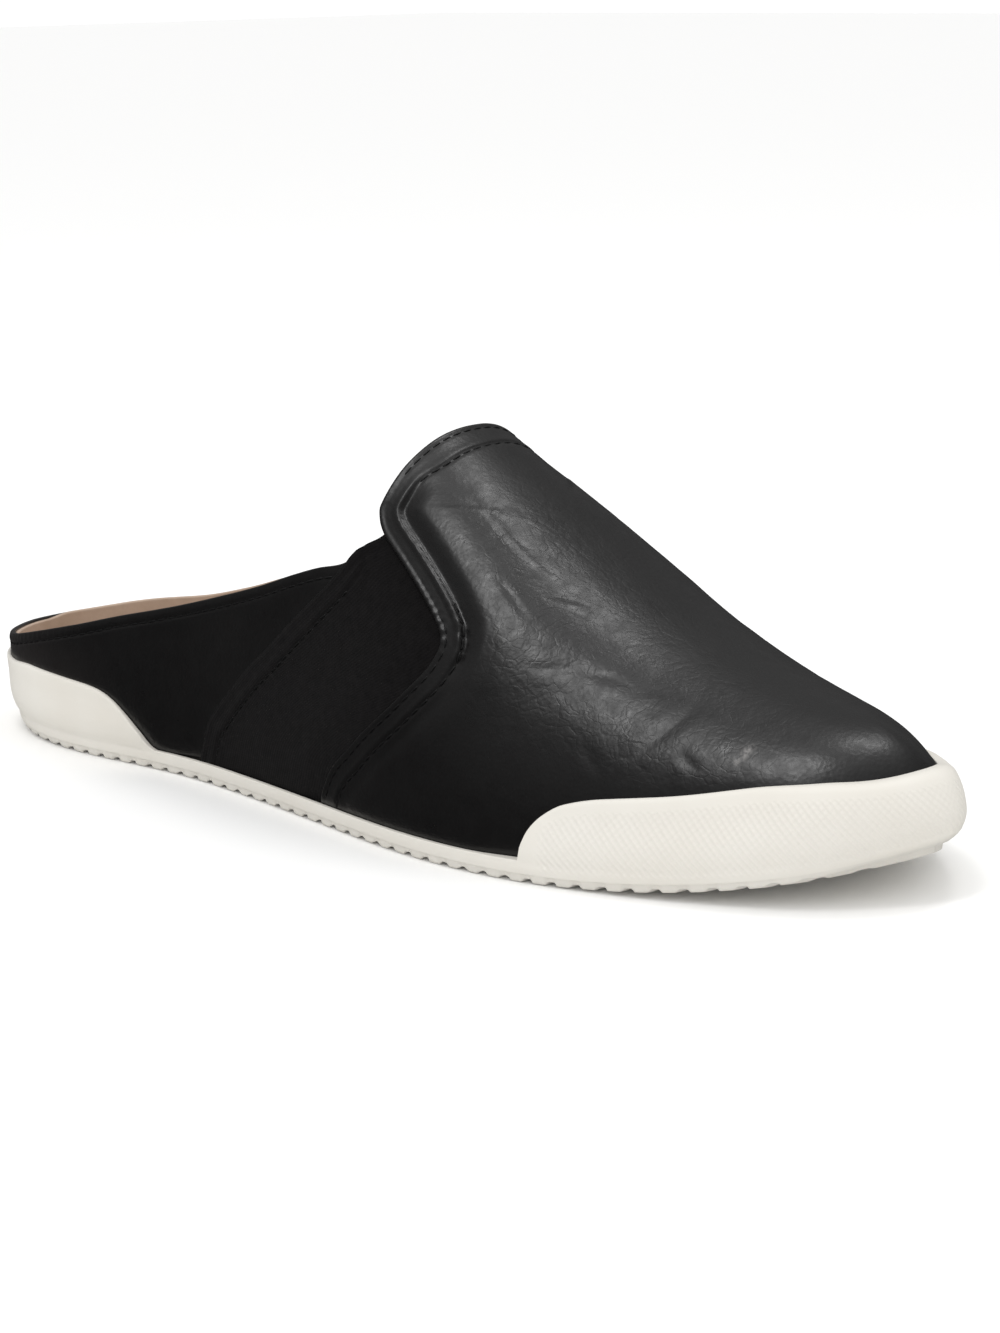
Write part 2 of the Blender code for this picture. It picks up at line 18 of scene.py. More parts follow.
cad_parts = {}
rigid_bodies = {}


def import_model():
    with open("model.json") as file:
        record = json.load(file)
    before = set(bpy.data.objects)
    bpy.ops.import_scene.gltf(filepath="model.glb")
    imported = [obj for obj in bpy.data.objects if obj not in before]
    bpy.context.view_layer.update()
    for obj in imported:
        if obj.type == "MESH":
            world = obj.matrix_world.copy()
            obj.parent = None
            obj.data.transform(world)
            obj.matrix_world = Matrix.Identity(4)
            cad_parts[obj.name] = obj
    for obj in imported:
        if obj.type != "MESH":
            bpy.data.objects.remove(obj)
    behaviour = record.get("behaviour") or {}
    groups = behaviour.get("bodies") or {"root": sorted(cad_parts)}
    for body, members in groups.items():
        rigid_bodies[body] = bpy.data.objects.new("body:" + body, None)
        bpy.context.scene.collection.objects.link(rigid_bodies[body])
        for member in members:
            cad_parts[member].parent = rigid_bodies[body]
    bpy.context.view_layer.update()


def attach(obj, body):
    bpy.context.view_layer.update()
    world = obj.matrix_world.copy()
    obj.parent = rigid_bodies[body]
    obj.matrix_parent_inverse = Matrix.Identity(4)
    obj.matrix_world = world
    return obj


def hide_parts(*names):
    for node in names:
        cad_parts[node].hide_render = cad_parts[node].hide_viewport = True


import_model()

MM = 0.001

# ---- Driving sizes ---------------------------------------------------------
LENGTH = 0.268  # sole, heel to toe
BALL = 0.089  # sole width across the ball of the foot
TOE_SPRING = 0.0101  # lift of the sole's tip above the floor
SPRING_START = 0.70  # share of LENGTH where the lift begins
SPRING_POWER = 2.6  # how late the lift rises
BED = 0.0035  # floor of the cup above the sole's underside
SEAT = 0.0040  # foot of the upper above the sole's underside
GAP = 0.0003  # clearance where two pieces meet
WALL_GAP = 0.0004  # clearance between the upper and the rubber around it
LIP = 0.0045  # top of the rubber edge between the bumpers
UPPER_WALL = 0.0020  # leather, lining and stiffener together
TOE_BACK = 0.0189  # how far the ridge ends behind the tip
TOE_REACH = 0.060  # length of the toe's rounding, from above
HEEL_RUN = 0.0283  # how far the ridge starts ahead of the heel
HEEL_REACH = 0.070  # length of the heel's rounding, from above
END_INSET = 0.0025  # foot of the upper, in from the outline at heel and tip
BULGE_HEIGHT = 0.0218  # height above the foot where the sides swell most
BUMPER_EDGE = 0.0010  # thickness of a bumper's upper edge
TIP_EDGE = 0.0030  # the same at the toe's tip
BUMPER_TAPER = 0.0100  # height over which a bumper thins to that edge
WAIST_LIFT = 0.0010  # hollow under the waist
GROOVE_WIDTH, GROOVE_DEPTH = 0.0018, 0.0010  # flex grooves across the tread

# ---- The sole's outline: shares of LENGTH and of BALL ------------------------
OUTLINE = [
    # x, lateral half width, medial half width
    (0.000, 0.000, 0.000),
    (0.012, 0.144, 0.144),
    (0.045, 0.262, 0.262),
    (0.100, 0.346, 0.344),
    (0.180, 0.372, 0.365),
    (0.290, 0.356, 0.338),
    (0.400, 0.388, 0.312),
    (0.510, 0.444, 0.345),
    (0.610, 0.492, 0.432),
    (0.700, 0.494, 0.500),
    (0.780, 0.447, 0.497),
    (0.855, 0.370, 0.438),
    (0.920, 0.278, 0.339),
    (0.968, 0.164, 0.206),
    (1.000, -0.046, 0.046),
]

# ---- The last's sections: x is a share of LENGTH, z, y and swell are in mm ----
# z and y place the ridge; side and rise are the superellipse's powers along the
# floor and upwards (2 is round, more is squarer); swell pushes the walls out.
SECTIONS = [
    # x, z, y, side, rise, swell
    (0.00, 120.0, 0.5, 2.60, 2.20, 6.4),
    (0.20, 118.0, 0.5, 2.60, 2.20, 5.0),
    (0.35, 108.0, 0.5, 2.50, 2.20, 1.2),
    (0.47, 92.8, 0.5, 2.20, 2.40, 1.5),
    (0.55, 79.7, 0.5, 2.20, 2.40, 1.5),
    (0.63, 65.9, 1.5, 2.20, 2.28, 1.5),
    (0.71, 52.2, 2.2, 2.17, 2.10, 1.5),
    (0.79, 41.5, 3.0, 2.14, 2.10, 1.2),
    (0.86, 36.0, 3.0, 2.14, 2.10, 1.0),
    (0.93, 32.6, 3.0, 2.14, 2.22, 0.8),
    (1.00, 29.4, 3.0, 2.14, 2.34, 0.6),
]

# ---- The topline from the side, in mm: the quarter's rim, then the gore's top --
RIM = [
    # x, z lateral, z medial
    (-6.0, 20.2, 20.2),
    (0.0, 20.9, 20.9),
    (8.0, 22.3, 22.1),
    (20.0, 24.9, 23.4),
    (34.0, 28.1, 26.7),
    (50.0, 31.8, 31.5),
    (66.0, 35.3, 35.2),
    (80.0, 38.6, 38.6),
    (95.0, 42.7, 42.7),
    (110.0, 47.1, 47.1),
    (122.0, 51.2, 51.2),
    (129.5, 53.6, 53.6),
    (136.5, 55.4, 55.4),
    (141.0, 58.5, 58.5),
    (145.0, 62.0, 62.0),
]
# The collar across the instep: e is the share of the ridge's height.
COLLAR = [
    # e, x in mm
    (0.740, 144.9),
    (0.762, 143.2),
    (0.791, 142.0),
    (0.824, 142.0),
    (0.877, 142.6),
    (0.929, 143.3),
    (0.963, 143.9),
    (0.985, 144.3),
    (1.000, 144.4),
]

# ---- Top of the rubber, above its underside, in mm ---------------------------
RUBBER_TOP = [
    # x, height
    (-6.0, 17.2),
    (0.0, 17.3),
    (21.0, 17.8),
    (30.0, 18.5),
    (38.0, 18.2),
    (46.0, 17.7),
    (52.0, 17.2),
    (56.0, 16.5),
    (60.0, 15.0),
    (64.3, 12.0),
    (68.1, 8.5),
    (71.5, 5.0),
    (73.0, 4.5),
    (196.6, 4.5),
    (197.2, 7.4),
    (198.6, 10.9),
    (201.1, 13.7),
    (205.0, 16.0),
    (212.5, 17.5),
    (227.0, 18.3),
    (241.0, 18.9),
    (254.0, 17.7),
    (262.0, 16.4),
    (268.0, 15.6),
]

# ---- Top of the footbed above the sole's underside: x share, height in mm ----
FOOTBED = [
    # x, height, dish
    (0.00, 16.2, 0.3),
    (0.12, 15.8, 1.3),
    (0.30, 14.0, 1.2),
    (0.45, 11.6, 0.8),
    (0.60, 9.4, 0.5),
    (0.72, 8.6, 0.3),
    (0.88, 8.2, 0.1),
    (1.00, 8.0, 0.0),
]

# ---- Along the sole's outline, in mm, by x share ------------------------------
INSET = [
    # x, how far the upper's foot stands in from the outline
    (0.00, 2.5),
    (0.20, 2.5),
    (0.28, 1.1),
    (0.68, 1.1),
    (0.74, 2.5),
    (1.00, 2.5),
]
EDGE_ROUND = [
    # x, how far the underside stops short of the outline
    (0.00, 1.9),
    (0.10, 1.3),
    (0.20, 0.6),
    (0.80, 0.6),
    (0.92, 1.2),
    (1.00, 1.9),
]

GROOVES = [0.080, 0.140, 0.200, 0.500, 0.560, 0.620, 0.680, 0.740]  # x shares

# ---- Curves ------------------------------------------------------------------
def natural_curve(xs, ys):
    """The smooth curve through the points, straight at both ends."""
    xs, ys = np.asarray(xs, float), np.asarray(ys, float)
    n, h = len(xs), np.diff(xs)
    a, b = np.eye(n), np.zeros(n)
    for i in range(1, n - 1):
        a[i, i - 1 : i + 2] = h[i - 1], 2 * (h[i - 1] + h[i]), h[i]
        b[i] = 6 * ((ys[i + 1] - ys[i]) / h[i] - (ys[i] - ys[i - 1]) / h[i - 1])
    m = np.linalg.solve(a, b)

    def at(x):
        x = np.clip(np.asarray(x, float), xs[0], xs[-1])
        i = np.clip(np.searchsorted(xs, x, side="right") - 1, 0, n - 2)
        p, q = xs[i + 1] - x, x - xs[i]
        return (
            (m[i] * p**3 + m[i + 1] * q**3) / (6 * h[i])
            + (ys[i] / h[i] - m[i] * h[i] / 6) * p
            + (ys[i + 1] / h[i] - m[i + 1] * h[i] / 6) * q
        )

    return at


def steady_curve(xs, ys):
    """A smooth curve through the points that never overshoots them."""
    xs, ys = np.asarray(xs, float), np.asarray(ys, float)
    h = np.diff(xs)
    d = np.diff(ys) / h
    m = np.zeros(len(xs))
    m[0], m[-1] = d[0], d[-1]
    for i in range(1, len(xs) - 1):
        if d[i - 1] * d[i] > 0:
            u, v = 2 * h[i] + h[i - 1], h[i] + 2 * h[i - 1]
            m[i] = (u + v) / (u / d[i - 1] + v / d[i])

    def at(x):
        x = np.clip(np.asarray(x, float), xs[0], xs[-1])
        i = np.clip(np.searchsorted(xs, x, side="right") - 1, 0, len(xs) - 2)
        t = (x - xs[i]) / h[i]
        return (
            (2 * t**3 - 3 * t**2 + 1) * ys[i]
            + (t**3 - 2 * t**2 + t) * h[i] * m[i]
            + (3 * t**2 - 2 * t**3) * ys[i + 1]
            + (t**3 - t**2) * h[i] * m[i + 1]
        )

    return at


def closed_curve(points):
    """The smooth closed curve through the points, and the value at each point."""
    p = np.asarray(points, float)
    n = len(p)
    h = np.sqrt(np.linalg.norm(np.roll(p, -1, 0) - p, axis=1))
    knots = np.concatenate([[0], np.cumsum(h)])
    a, b = np.zeros((n, n)), np.zeros((n, 2))
    for i in range(n):
        j, k = (i - 1) % n, (i + 1) % n
        a[i, j] += h[j]
        a[i, i] += 2 * (h[j] + h[i])
        a[i, k] += h[i]
        b[i] = 6 * ((p[k] - p[i]) / h[i] - (p[i] - p[j]) / h[j])
    m = np.linalg.solve(a, b)

    def at(t):
        t = np.mod(t, knots[-1])
        i = np.clip(np.searchsorted(knots, t, side="right") - 1, 0, n - 1)
        k = (i + 1) % n
        w, u, v = h[i][:, None], (knots[i + 1] - t)[:, None], (t - knots[i])[:, None]
        return (
            (m[i] * u**3 + m[k] * v**3) / (6 * w)
            + (p[i] / w - m[i] * w / 6) * u
            + (p[k] / w - m[k] * w / 6) * v
        )

    return at, knots


# ---- The last ------------------------------------------------------------------
LATERAL, MEDIAL = -1, 1


def make_edges(count=4801):
    """Each side's outline from heel to tip: share of its length, points, outward normals."""
    lateral = [(r[0] * LENGTH, -r[1] * BALL) for r in OUTLINE]
    medial = [(r[0] * LENGTH, r[2] * BALL) for r in OUTLINE[1:-1]]
    at, knots = closed_curve(lateral + medial[::-1])
    tip = knots[len(OUTLINE) - 1]
    found = {}
    for side, start in ((LATERAL, 0.0), (MEDIAL, knots[-1])):
        line = at(np.linspace(start, tip, count))
        along = np.gradient(line, axis=0)
        along /= np.linalg.norm(along, axis=1)[:, None]
        normal = np.column_stack([along[:, 1], -along[:, 0]]) * -side
        normal[0], normal[-1] = (-1, 0), (1, 0)
        run = np.concatenate([[0], np.cumsum(np.linalg.norm(np.diff(line, axis=0), axis=1))])
        even = np.linspace(0, run[-1], count)
        found[side] = (
            even / run[-1],
            np.column_stack([np.interp(even, run, line[:, i]) for i in (0, 1)]),
            np.column_stack([np.interp(even, run, normal[:, i]) for i in (0, 1)]),
        )
    return found


EDGES = make_edges()
SECTION = np.array(SECTIONS)
ridge_z = natural_curve(SECTION[:, 0] * LENGTH, SECTION[:, 1] * MM)
ridge_y = natural_curve(SECTION[:, 0] * LENGTH, SECTION[:, 2] * MM)
side_power = steady_curve(SECTION[:, 0] * LENGTH, SECTION[:, 3])
rise_power = steady_curve(SECTION[:, 0] * LENGTH, SECTION[:, 4])
swell = steady_curve(SECTION[:, 0] * LENGTH, SECTION[:, 5] * MM)
inset = steady_curve([r[0] * LENGTH for r in INSET], [r[1] * MM for r in INSET])
rubber_top = steady_curve([r[0] * MM for r in RUBBER_TOP], [r[1] * MM for r in RUBBER_TOP])
footbed_top = natural_curve([r[0] * LENGTH for r in FOOTBED], [r[1] * MM for r in FOOTBED])
footbed_dish = natural_curve([r[0] * LENGTH for r in FOOTBED], [r[2] * MM for r in FOOTBED])
edge_round = steady_curve([r[0] * LENGTH for r in EDGE_ROUND], [r[1] * MM for r in EDGE_ROUND])


RIM_Z = {
    side: steady_curve([r[0] * MM for r in RIM], [r[column] * MM for r in RIM])
    for side, column in ((LATERAL, 1), (MEDIAL, 2))
}


def bumper_edge(x):
    """Thickness of a bumper's upper edge: thin on the sides, thick at the toe's tip."""
    t = np.clip((np.asarray(x, float) - 0.236) / (0.263 - 0.236), 0, 1)
    return BUMPER_EDGE + (TIP_EDGE - BUMPER_EDGE) * t * t * (3 - 2 * t)


def underside(x):
    """Height of the sole's underside: on the floor, then up in the toe spring."""
    t = np.clip((np.asarray(x, float) / LENGTH - SPRING_START) / (1 - SPRING_START), 0, 1)
    return TOE_SPRING * t**SPRING_POWER


def plan(side, a, out=0.0):
    """Point and outward normal at share a of one side's outline, moved out by out."""
    share, line, normal = EDGES[side]
    n = [np.interp(a, share, normal[:, i]) for i in (0, 1)]
    p = [np.interp(a, share, line[:, i]) + n[i] * out for i in (0, 1)]
    return p[0], p[1], n[0], n[1]


def foot_line(side):
    """The upper's foot along one side, at the outline's own shares."""
    _, line, normal = EDGES[side]
    return line - normal * inset(line[:, 0])[:, None]


FEET = {side: foot_line(side) for side in (LATERAL, MEDIAL)}


def foot_at(side, a):
    """The upper's foot at share a of one side's outline."""
    share = EDGES[side][0]
    return np.interp(a, share, FEET[side][:, 0]), np.interp(a, share, FEET[side][:, 1])


def share_at(side, x):
    """The share of one side's outline whose foot lies at x."""
    return float(np.interp(x, FEET[side][:, 0], EDGES[side][0]))


def ridge_x(x):
    """Where on the ridge the section from foot position x ends."""
    t = np.clip((x - (LENGTH - END_INSET - TOE_REACH)) / TOE_REACH, 0, 1)
    u = np.clip(1 - (x - END_INSET) / HEEL_REACH, 0, 1)
    return x - TOE_BACK * t**2 + HEEL_RUN * u**2


def last(side, a, turn):
    """Point on the upper's outer surface: turn 0 is its foot, pi/2 is the ridge."""
    a, turn = np.broadcast_arrays(np.asarray(a, float), np.asarray(turn, float))
    x, y = foot_at(side, a)
    foot = underside(x) + SEAT
    rx = ridge_x(x)
    ry, rz = ridge_y(rx), ridge_z(rx)
    fall = (ridge_z(rx + 1e-4) - ridge_z(rx - 1e-4)) / 2e-4 * (rx - x)
    across = 1 - np.clip(np.cos(turn), 0, 1) ** (2 / side_power(rx))
    upward = np.clip(np.sin(turn), 0, 1) ** (2 / rise_power(rx))
    z = foot + (rz - foot - fall) * upward + fall * across
    h = (rz - foot) * upward / BULGE_HEIGHT
    push = swell(rx) * h * np.exp(1 - h) * (1 - upward) ** 2
    w = across - push / np.maximum(np.hypot(rx - x, ry - y), 1e-6)
    return np.stack([x + (rx - x) * w, y + (ry - y) * w, z], -1)


def turn_at(side, a, level, most=math.pi / 2):
    """The turn at which a section reaches level(x), a function of the point's x."""
    low, high = np.zeros_like(a), np.full_like(a, most)
    for _ in range(36):
        middle = (low + high) / 2
        p = last(side, a, middle)
        under = p[..., 2] < level(p[..., 0])
        low, high = np.where(under, middle, low), np.where(under, high, middle)
    return (low + high) / 2


# ---- The panels' lines on the last: turn in radians, x of the foot in mm ------
ORIGIN = np.array([0.13286211, 0.0003546, 0.0])  # the row's origin, from the outline's heel

VAMP_EDGE = [
    # turn, x
    (0.000, 134.6),
    (0.026, 136.5),
    (0.079, 140.6),
    (0.144, 146.9),
    (0.367, 161.4),
    (0.554, 168.0),
    (0.620, 168.8),
    (0.662, 168.0),
    (0.692, 165.5),
    (0.731, 160.3),
    (0.767, 153.4),
    (0.800, 146.3),
    (0.830, 143.9),
    (0.876, 142.6),
    (0.941, 142.7),
    (1.056, 143.0),
    (1.204, 143.7),
    (1.338, 144.1),
    (1.472, 144.4),
    (1.571, 144.5),
]
GORE_EDGE = [
    # turn, x: up the gore's back edge, then along its top to the vamp
    (0.000, 87.2),
    (0.023, 88.9),
    (0.075, 91.9),
    (0.118, 96.3),
    (0.200, 106.0),
    (0.282, 116.2),
    (0.407, 126.9),
    (0.554, 135.6),
    (0.615, 138.0),
    (0.653, 139.2),
    (0.728, 142.4),
    (0.775, 144.6),
    (0.820, 146.2),
]
CORNER_TURN, CORNER_X = 0.815, 0.1463
GORE_CORNER_TURN = 0.615

# Creases of the vamp on the outer side; the inner side has them fainter.
CREASES = [
    # depth in mm, half width in mm, then (x, turn) from end to end
    (0.09, 0.60, [(157.0, 1.223), (165.5, 1.223), (170.2, 1.213), (175.1, 1.213), (180.6, 1.223), (185.8, 1.246), (190.4, 1.292)]),
    (0.12, 0.60, [(174.0, 1.023), (178.7, 1.003), (182.6, 0.974)]),
    (0.12, 0.55, [(182.8, 1.112), (188.0, 1.187), (192.5, 1.269)]),
    (0.10, 0.60, [(167.1, 1.246), (168.2, 1.122), (168.0, 1.017)]),
    (0.16, 1.30, [(221.5, 1.060), (220.2, 0.984), (219.0, 0.843), (217.1, 0.721), (214.8, 0.623)]),
    (0.09, 1.10, [(208.5, 1.010), (213.0, 1.059), (219.5, 1.043)]),
    (0.12, 1.10, [(223.3, 0.738), (225.9, 0.672), (229.0, 0.617)]),
    (0.10, 1.00, [(205.0, 0.574), (207.7, 0.528), (210.1, 0.479)]),
    (0.12, 1.10, [(196.0, 0.900), (201.0, 0.960), (206.0, 0.990)]),
    (0.12, 1.00, [(188.0, 0.800), (193.0, 0.860), (197.0, 0.940)]),
]
SCUFF = [(235.2, 0.740), (236.0, 0.810), (236.4, 0.870)]  # x, turn

LEATHER = 1.05 * MM  # the vamp's thickness
TREAD_PITCH = 0.00536  # from one rib of the tread to the next
STITCH, STITCH_GAP, THREAD = 0.0024, 0.0006, 0.00021  # length, gap, radius


# ---- Laying points on the last ---------------------------------------------------
def medial_share(t):
    return np.interp(foot_at(LATERAL, t)[0], FEET[MEDIAL][:, 0], EDGES[MEDIAL][0])


def share_of(x):
    """The lateral share whose foot lies at x, for arrays."""
    return np.interp(x, FEET[LATERAL][:, 0], EDGES[LATERAL][0])


def skin(t, v):
    """Points on the last in the row's frame."""
    t, v = np.broadcast_arrays(np.asarray(t, float), np.asarray(v, float))
    turn = (1 - np.abs(v)) * math.pi / 2
    outer = last(LATERAL, t, turn)
    inner = last(MEDIAL, medial_share(t), turn)
    return np.where((v <= 0)[..., None], outer, inner) - ORIGIN


def unit(a):
    return a / np.maximum(np.linalg.norm(a, axis=-1), 1e-12)[..., None]


def grid_normals(points, folded=False):
    """Outward normals of a grid whose rows go from the lateral foot over the ridge
    and whose columns go from heel to toe. folded: the last column's two halves meet."""
    n = unit(np.cross(np.gradient(points, axis=1), np.gradient(points, axis=0)))
    if folded:
        n[:, -1] = unit(n[:, -1] + n[::-1, -1])
        n[:, -1] = unit(n[:, -1] + n[:, -2])
    return n


def smooth(x, low, high):
    t = np.clip((np.asarray(x, float) - low) / (high - low), 0, 1)
    return t * t * (3 - 2 * t)


def bell(x, at, width):
    return np.exp(-(((x - at) / width) ** 2))


def roll(d, radius):
    """How far a rolled edge lies under its panel's surface at distance d from the edge."""
    return -(radius - np.sqrt(np.clip(radius**2 - np.clip(radius - d, 0, radius) ** 2, 0, None)))


def resample(points, step):
    """Points evenly along a line, about step apart, and the value s along it."""
    run = np.concatenate([[0], np.cumsum(np.linalg.norm(np.diff(points, axis=0), axis=1))])
    count = max(2, int(round(run[-1] / step)) + 1)
    s = np.linspace(0, run[-1], count)
    return np.column_stack([np.interp(s, run, points[:, i]) for i in range(3)]), s


class Line:
    """A line on the last that can say how far points are from it."""

    def __init__(self, points, step=0.0002):
        self.points, self.s = resample(np.asarray(points, float), step)
        self.tree = KDTree(len(self.points))
        for i, p in enumerate(self.points):
            self.tree.insert(p, i)
        self.tree.balance()

    def near(self, places):
        """Distance from each place to the line, and s of the nearest point."""
        flat = places.reshape(-1, 3)
        found = np.array([self.tree.find(p)[1] for p in flat], int)
        best = None
        for step in (-1, 0):
            i = np.clip(found + step, 0, len(self.points) - 2)
            a, b = self.points[i], self.points[i + 1]
            ab = b - a
            u = np.clip(((flat - a) * ab).sum(1) / np.maximum((ab**2).sum(1), 1e-18), 0, 1)
            d = np.linalg.norm(a + ab * u[:, None] - flat, axis=1)
            s = self.s[i] + u * (self.s[i + 1] - self.s[i])
            if best is None:
                best = (d, s)
            else:
                best = (np.minimum(best[0], d), np.where(d < best[0], s, best[1]))
        return best[0].reshape(places.shape[:-1]), best[1].reshape(places.shape[:-1])


def edge_turns(table, low, high, count, even=0.3):
    """Turns from low to high, mostly even along the line that table draws."""
    turn = np.linspace(low, high, 3001)
    at = steady_curve([r[0] for r in table], [r[1] * MM for r in table])
    p = skin(share_of(at(turn)), -(1 - turn / (math.pi / 2)))
    run = np.concatenate([[0], np.cumsum(np.linalg.norm(np.diff(p, axis=0), axis=1))])
    mixed = (1 - even) * run / run[-1] + even * (turn - low) / (high - low)
    return np.interp(np.linspace(0, 1, count), mixed, turn)


vamp_edge_x = steady_curve([r[0] for r in VAMP_EDGE], [r[1] * MM for r in VAMP_EDGE])
gore_edge_x = steady_curve([r[0] for r in GORE_EDGE], [r[1] * MM for r in GORE_EDGE])


def signed(turn, side):
    """v of a turn on one side."""
    return side * (1 - turn / (math.pi / 2))


def on_side(table_x, low, high, side, count=900):
    """A line on one side: turn from low to high at x given by table_x."""
    turn = np.linspace(low, high, count)
    return skin(share_of(table_x(turn)), signed(turn, side))


# ---- Meshes --------------------------------------------------------------------
def add(name, points, faces, material, sharp=None):
    mesh = bpy.data.meshes.new(name)
    mesh.from_pydata([tuple(p) for p in points], [], faces)
    mesh.validate()
    mesh.materials.append(material)
    obj = bpy.data.objects.new(name, mesh)
    bpy.context.scene.collection.objects.link(obj)
    mesh.shade_smooth()
    if sharp:
        mesh.set_sharp_from_angle(angle=math.radians(sharp))
    return obj


def weld(obj, distance=2e-6):
    work = bmesh.new()
    work.from_mesh(obj.data)
    bmesh.ops.remove_doubles(work, verts=work.verts, dist=distance)
    bmesh.ops.recalc_face_normals(work, faces=work.faces)
    work.to_mesh(obj.data)
    work.free()


def give(obj, name, values):
    """A number at each vertex, for the material."""
    layer = obj.data.attributes.new(name, "FLOAT", "POINT")
    layer.data.foreach_set("value", np.asarray(values, np.float32))


def shell(name, outer, inner, material, folded=False, values=None, coarse=2):
    """A closed panel between an outer grid and an inner one, whose inner side has one
    row and column in coarse. folded: the last column's two halves meet in a seam."""
    rows, columns = outer.shape[:2]
    ri = sorted(set(list(range(0, rows, coarse)) + [rows - 1]))
    ci = sorted(set(list(range(0, columns, coarse)) + [columns - 1]))
    inner = inner[np.ix_(ri, ci)]
    n_out = rows * columns
    points = np.concatenate([outer.reshape(-1, 3), inner.reshape(-1, 3)])
    o = lambda i, j: i * columns + j
    q = lambda i, j: n_out + i * len(ci) + j
    faces = []
    for i in range(rows - 1):
        for j in range(columns - 1):
            faces.append((o(i, j), o(i, j + 1), o(i + 1, j + 1), o(i + 1, j)))
    for i in range(len(ri) - 1):
        for j in range(len(ci) - 1):
            faces.append((q(i, j), q(i + 1, j), q(i + 1, j + 1), q(i, j + 1)))

    def strip(fine, rough, index):
        for k in range(len(rough) - 1):
            a, b = index[k], index[k + 1]
            faces.append([fine[m] for m in range(a, b + 1)] + [rough[k + 1], rough[k]])

    strip([o(0, j) for j in range(columns)][::-1], [q(0, k) for k in range(len(ci))][::-1], [columns - 1 - c for c in ci][::-1])
    strip([o(rows - 1, j) for j in range(columns)], [q(len(ri) - 1, k) for k in range(len(ci))], ci)
    strip([o(i, 0) for i in range(rows)], [q(k, 0) for k in range(len(ri))], ri)
    if not folded:
        strip([o(i, columns - 1) for i in range(rows)][::-1], [q(k, len(ci) - 1) for k in range(len(ri))][::-1], [rows - 1 - r for r in ri][::-1])
    obj = add(name, points, faces, material)
    for key, value in (values or {}).items():
        full = np.asarray(value, float)
        give(obj, key, np.concatenate([full.ravel(), full[np.ix_(ri, ci)].ravel()]))
    weld(obj)
    return obj


# ---- Materials -------------------------------------------------------------------
class Nodes:
    """Short ways to build a node tree around one Principled shader."""

    def __init__(self, name, colour, roughness, **shader):
        self.material = bpy.data.materials.new(name)
        self.material.use_nodes = True
        self.tree = self.material.node_tree
        self.surface = self.tree.nodes["Principled BSDF"]
        self.surface.inputs["Base Color"].default_value = (*colour, 1)
        self.surface.inputs["Roughness"].default_value = roughness
        for key, value in shader.items():
            self.surface.inputs[key.replace("_", " ")].default_value = value
        self.place = self.node("ShaderNodeTexCoord").outputs["Object"]

    def node(self, kind, **settings):
        made = self.tree.nodes.new(kind)
        for key, value in settings.items():
            setattr(made, key, value)
        return made

    def link(self, a, b):
        self.tree.links.new(a, b)

    def number(self, name):
        return self.node("ShaderNodeAttribute", attribute_name=name).outputs["Fac"]

    def maths(self, operation, *values, clamp=False):
        made = self.node("ShaderNodeMath", operation=operation, use_clamp=clamp)
        for socket, value in zip(made.inputs, values):
            if hasattr(value, "is_linked"):
                self.link(value, socket)
            else:
                socket.default_value = value
        return made.outputs[0]

    def noise(self, scale, detail=3.0, rough=0.55, place=None, distortion=0.0):
        made = self.node("ShaderNodeTexNoise")
        made.inputs["Scale"].default_value = scale
        made.inputs["Detail"].default_value = detail
        made.inputs["Roughness"].default_value = rough
        made.inputs["Distortion"].default_value = distortion
        self.link(place or self.place, made.inputs["Vector"])
        return made.outputs["Fac"]

    def cells(self, scale, feature="F1", place=None, smoothness=None, randomness=1.0):
        made = self.node("ShaderNodeTexVoronoi", feature=feature)
        made.inputs["Scale"].default_value = scale
        made.inputs["Randomness"].default_value = randomness
        if smoothness is not None and "Smoothness" in made.inputs:
            made.inputs["Smoothness"].default_value = smoothness
        self.link(place or self.place, made.inputs["Vector"])
        return made.outputs["Distance"]

    def warped(self, scale, amount):
        """Object coordinates pushed about by noise, in metres."""
        made = self.node("ShaderNodeTexNoise")
        made.inputs["Scale"].default_value = scale
        made.inputs["Detail"].default_value = 2.0
        self.link(self.place, made.inputs["Vector"])
        off = self.node("ShaderNodeVectorMath", operation="MULTIPLY_ADD")
        self.link(made.outputs["Color"], off.inputs[0])
        off.inputs[1].default_value = (amount,) * 3
        self.link(self.place, off.inputs[2])
        return off.outputs[0]

    def ramp(self, value, stops):
        made = self.node("ShaderNodeValToRGB")
        bar = made.color_ramp
        while len(bar.elements) < len(stops):
            bar.elements.new(0.5)
        for element, (at, colour) in zip(bar.elements, stops):
            element.position = at
            element.color = (*colour, 1) if len(colour) == 3 else colour
        self.link(value, made.inputs["Fac"])
        return made.outputs["Color"]

    def blend(self, share, a, b):
        made = self.node("ShaderNodeMix", data_type="RGBA")
        for socket, value in ((made.inputs[0], share), (made.inputs[6], a), (made.inputs[7], b)):
            if hasattr(value, "is_linked"):
                self.link(value, socket)
            elif isinstance(value, (int, float)):
                socket.default_value = value
            else:
                socket.default_value = (*value, 1)
        return made.outputs[2]

    def range(self, value, low, high, to_low=0.0, to_high=1.0):
        made = self.node("ShaderNodeMapRange")
        for socket, number in zip(list(made.inputs)[1:5], (low, high, to_low, to_high)):
            socket.default_value = number
        self.link(value, made.inputs[0])
        return made.outputs[0]

    def bump(self, height, distance, strength=1.0, normal=None):
        made = self.node("ShaderNodeBump")
        made.inputs["Strength"].default_value = strength
        made.inputs["Distance"].default_value = distance
        self.link(height, made.inputs["Height"])
        if normal is not None:
            self.link(normal, made.inputs["Normal"])
        return made.outputs["Normal"]

    def set(self, **links):
        for key, value in links.items():
            self.link(value, self.surface.inputs[key.replace("_", " ")])


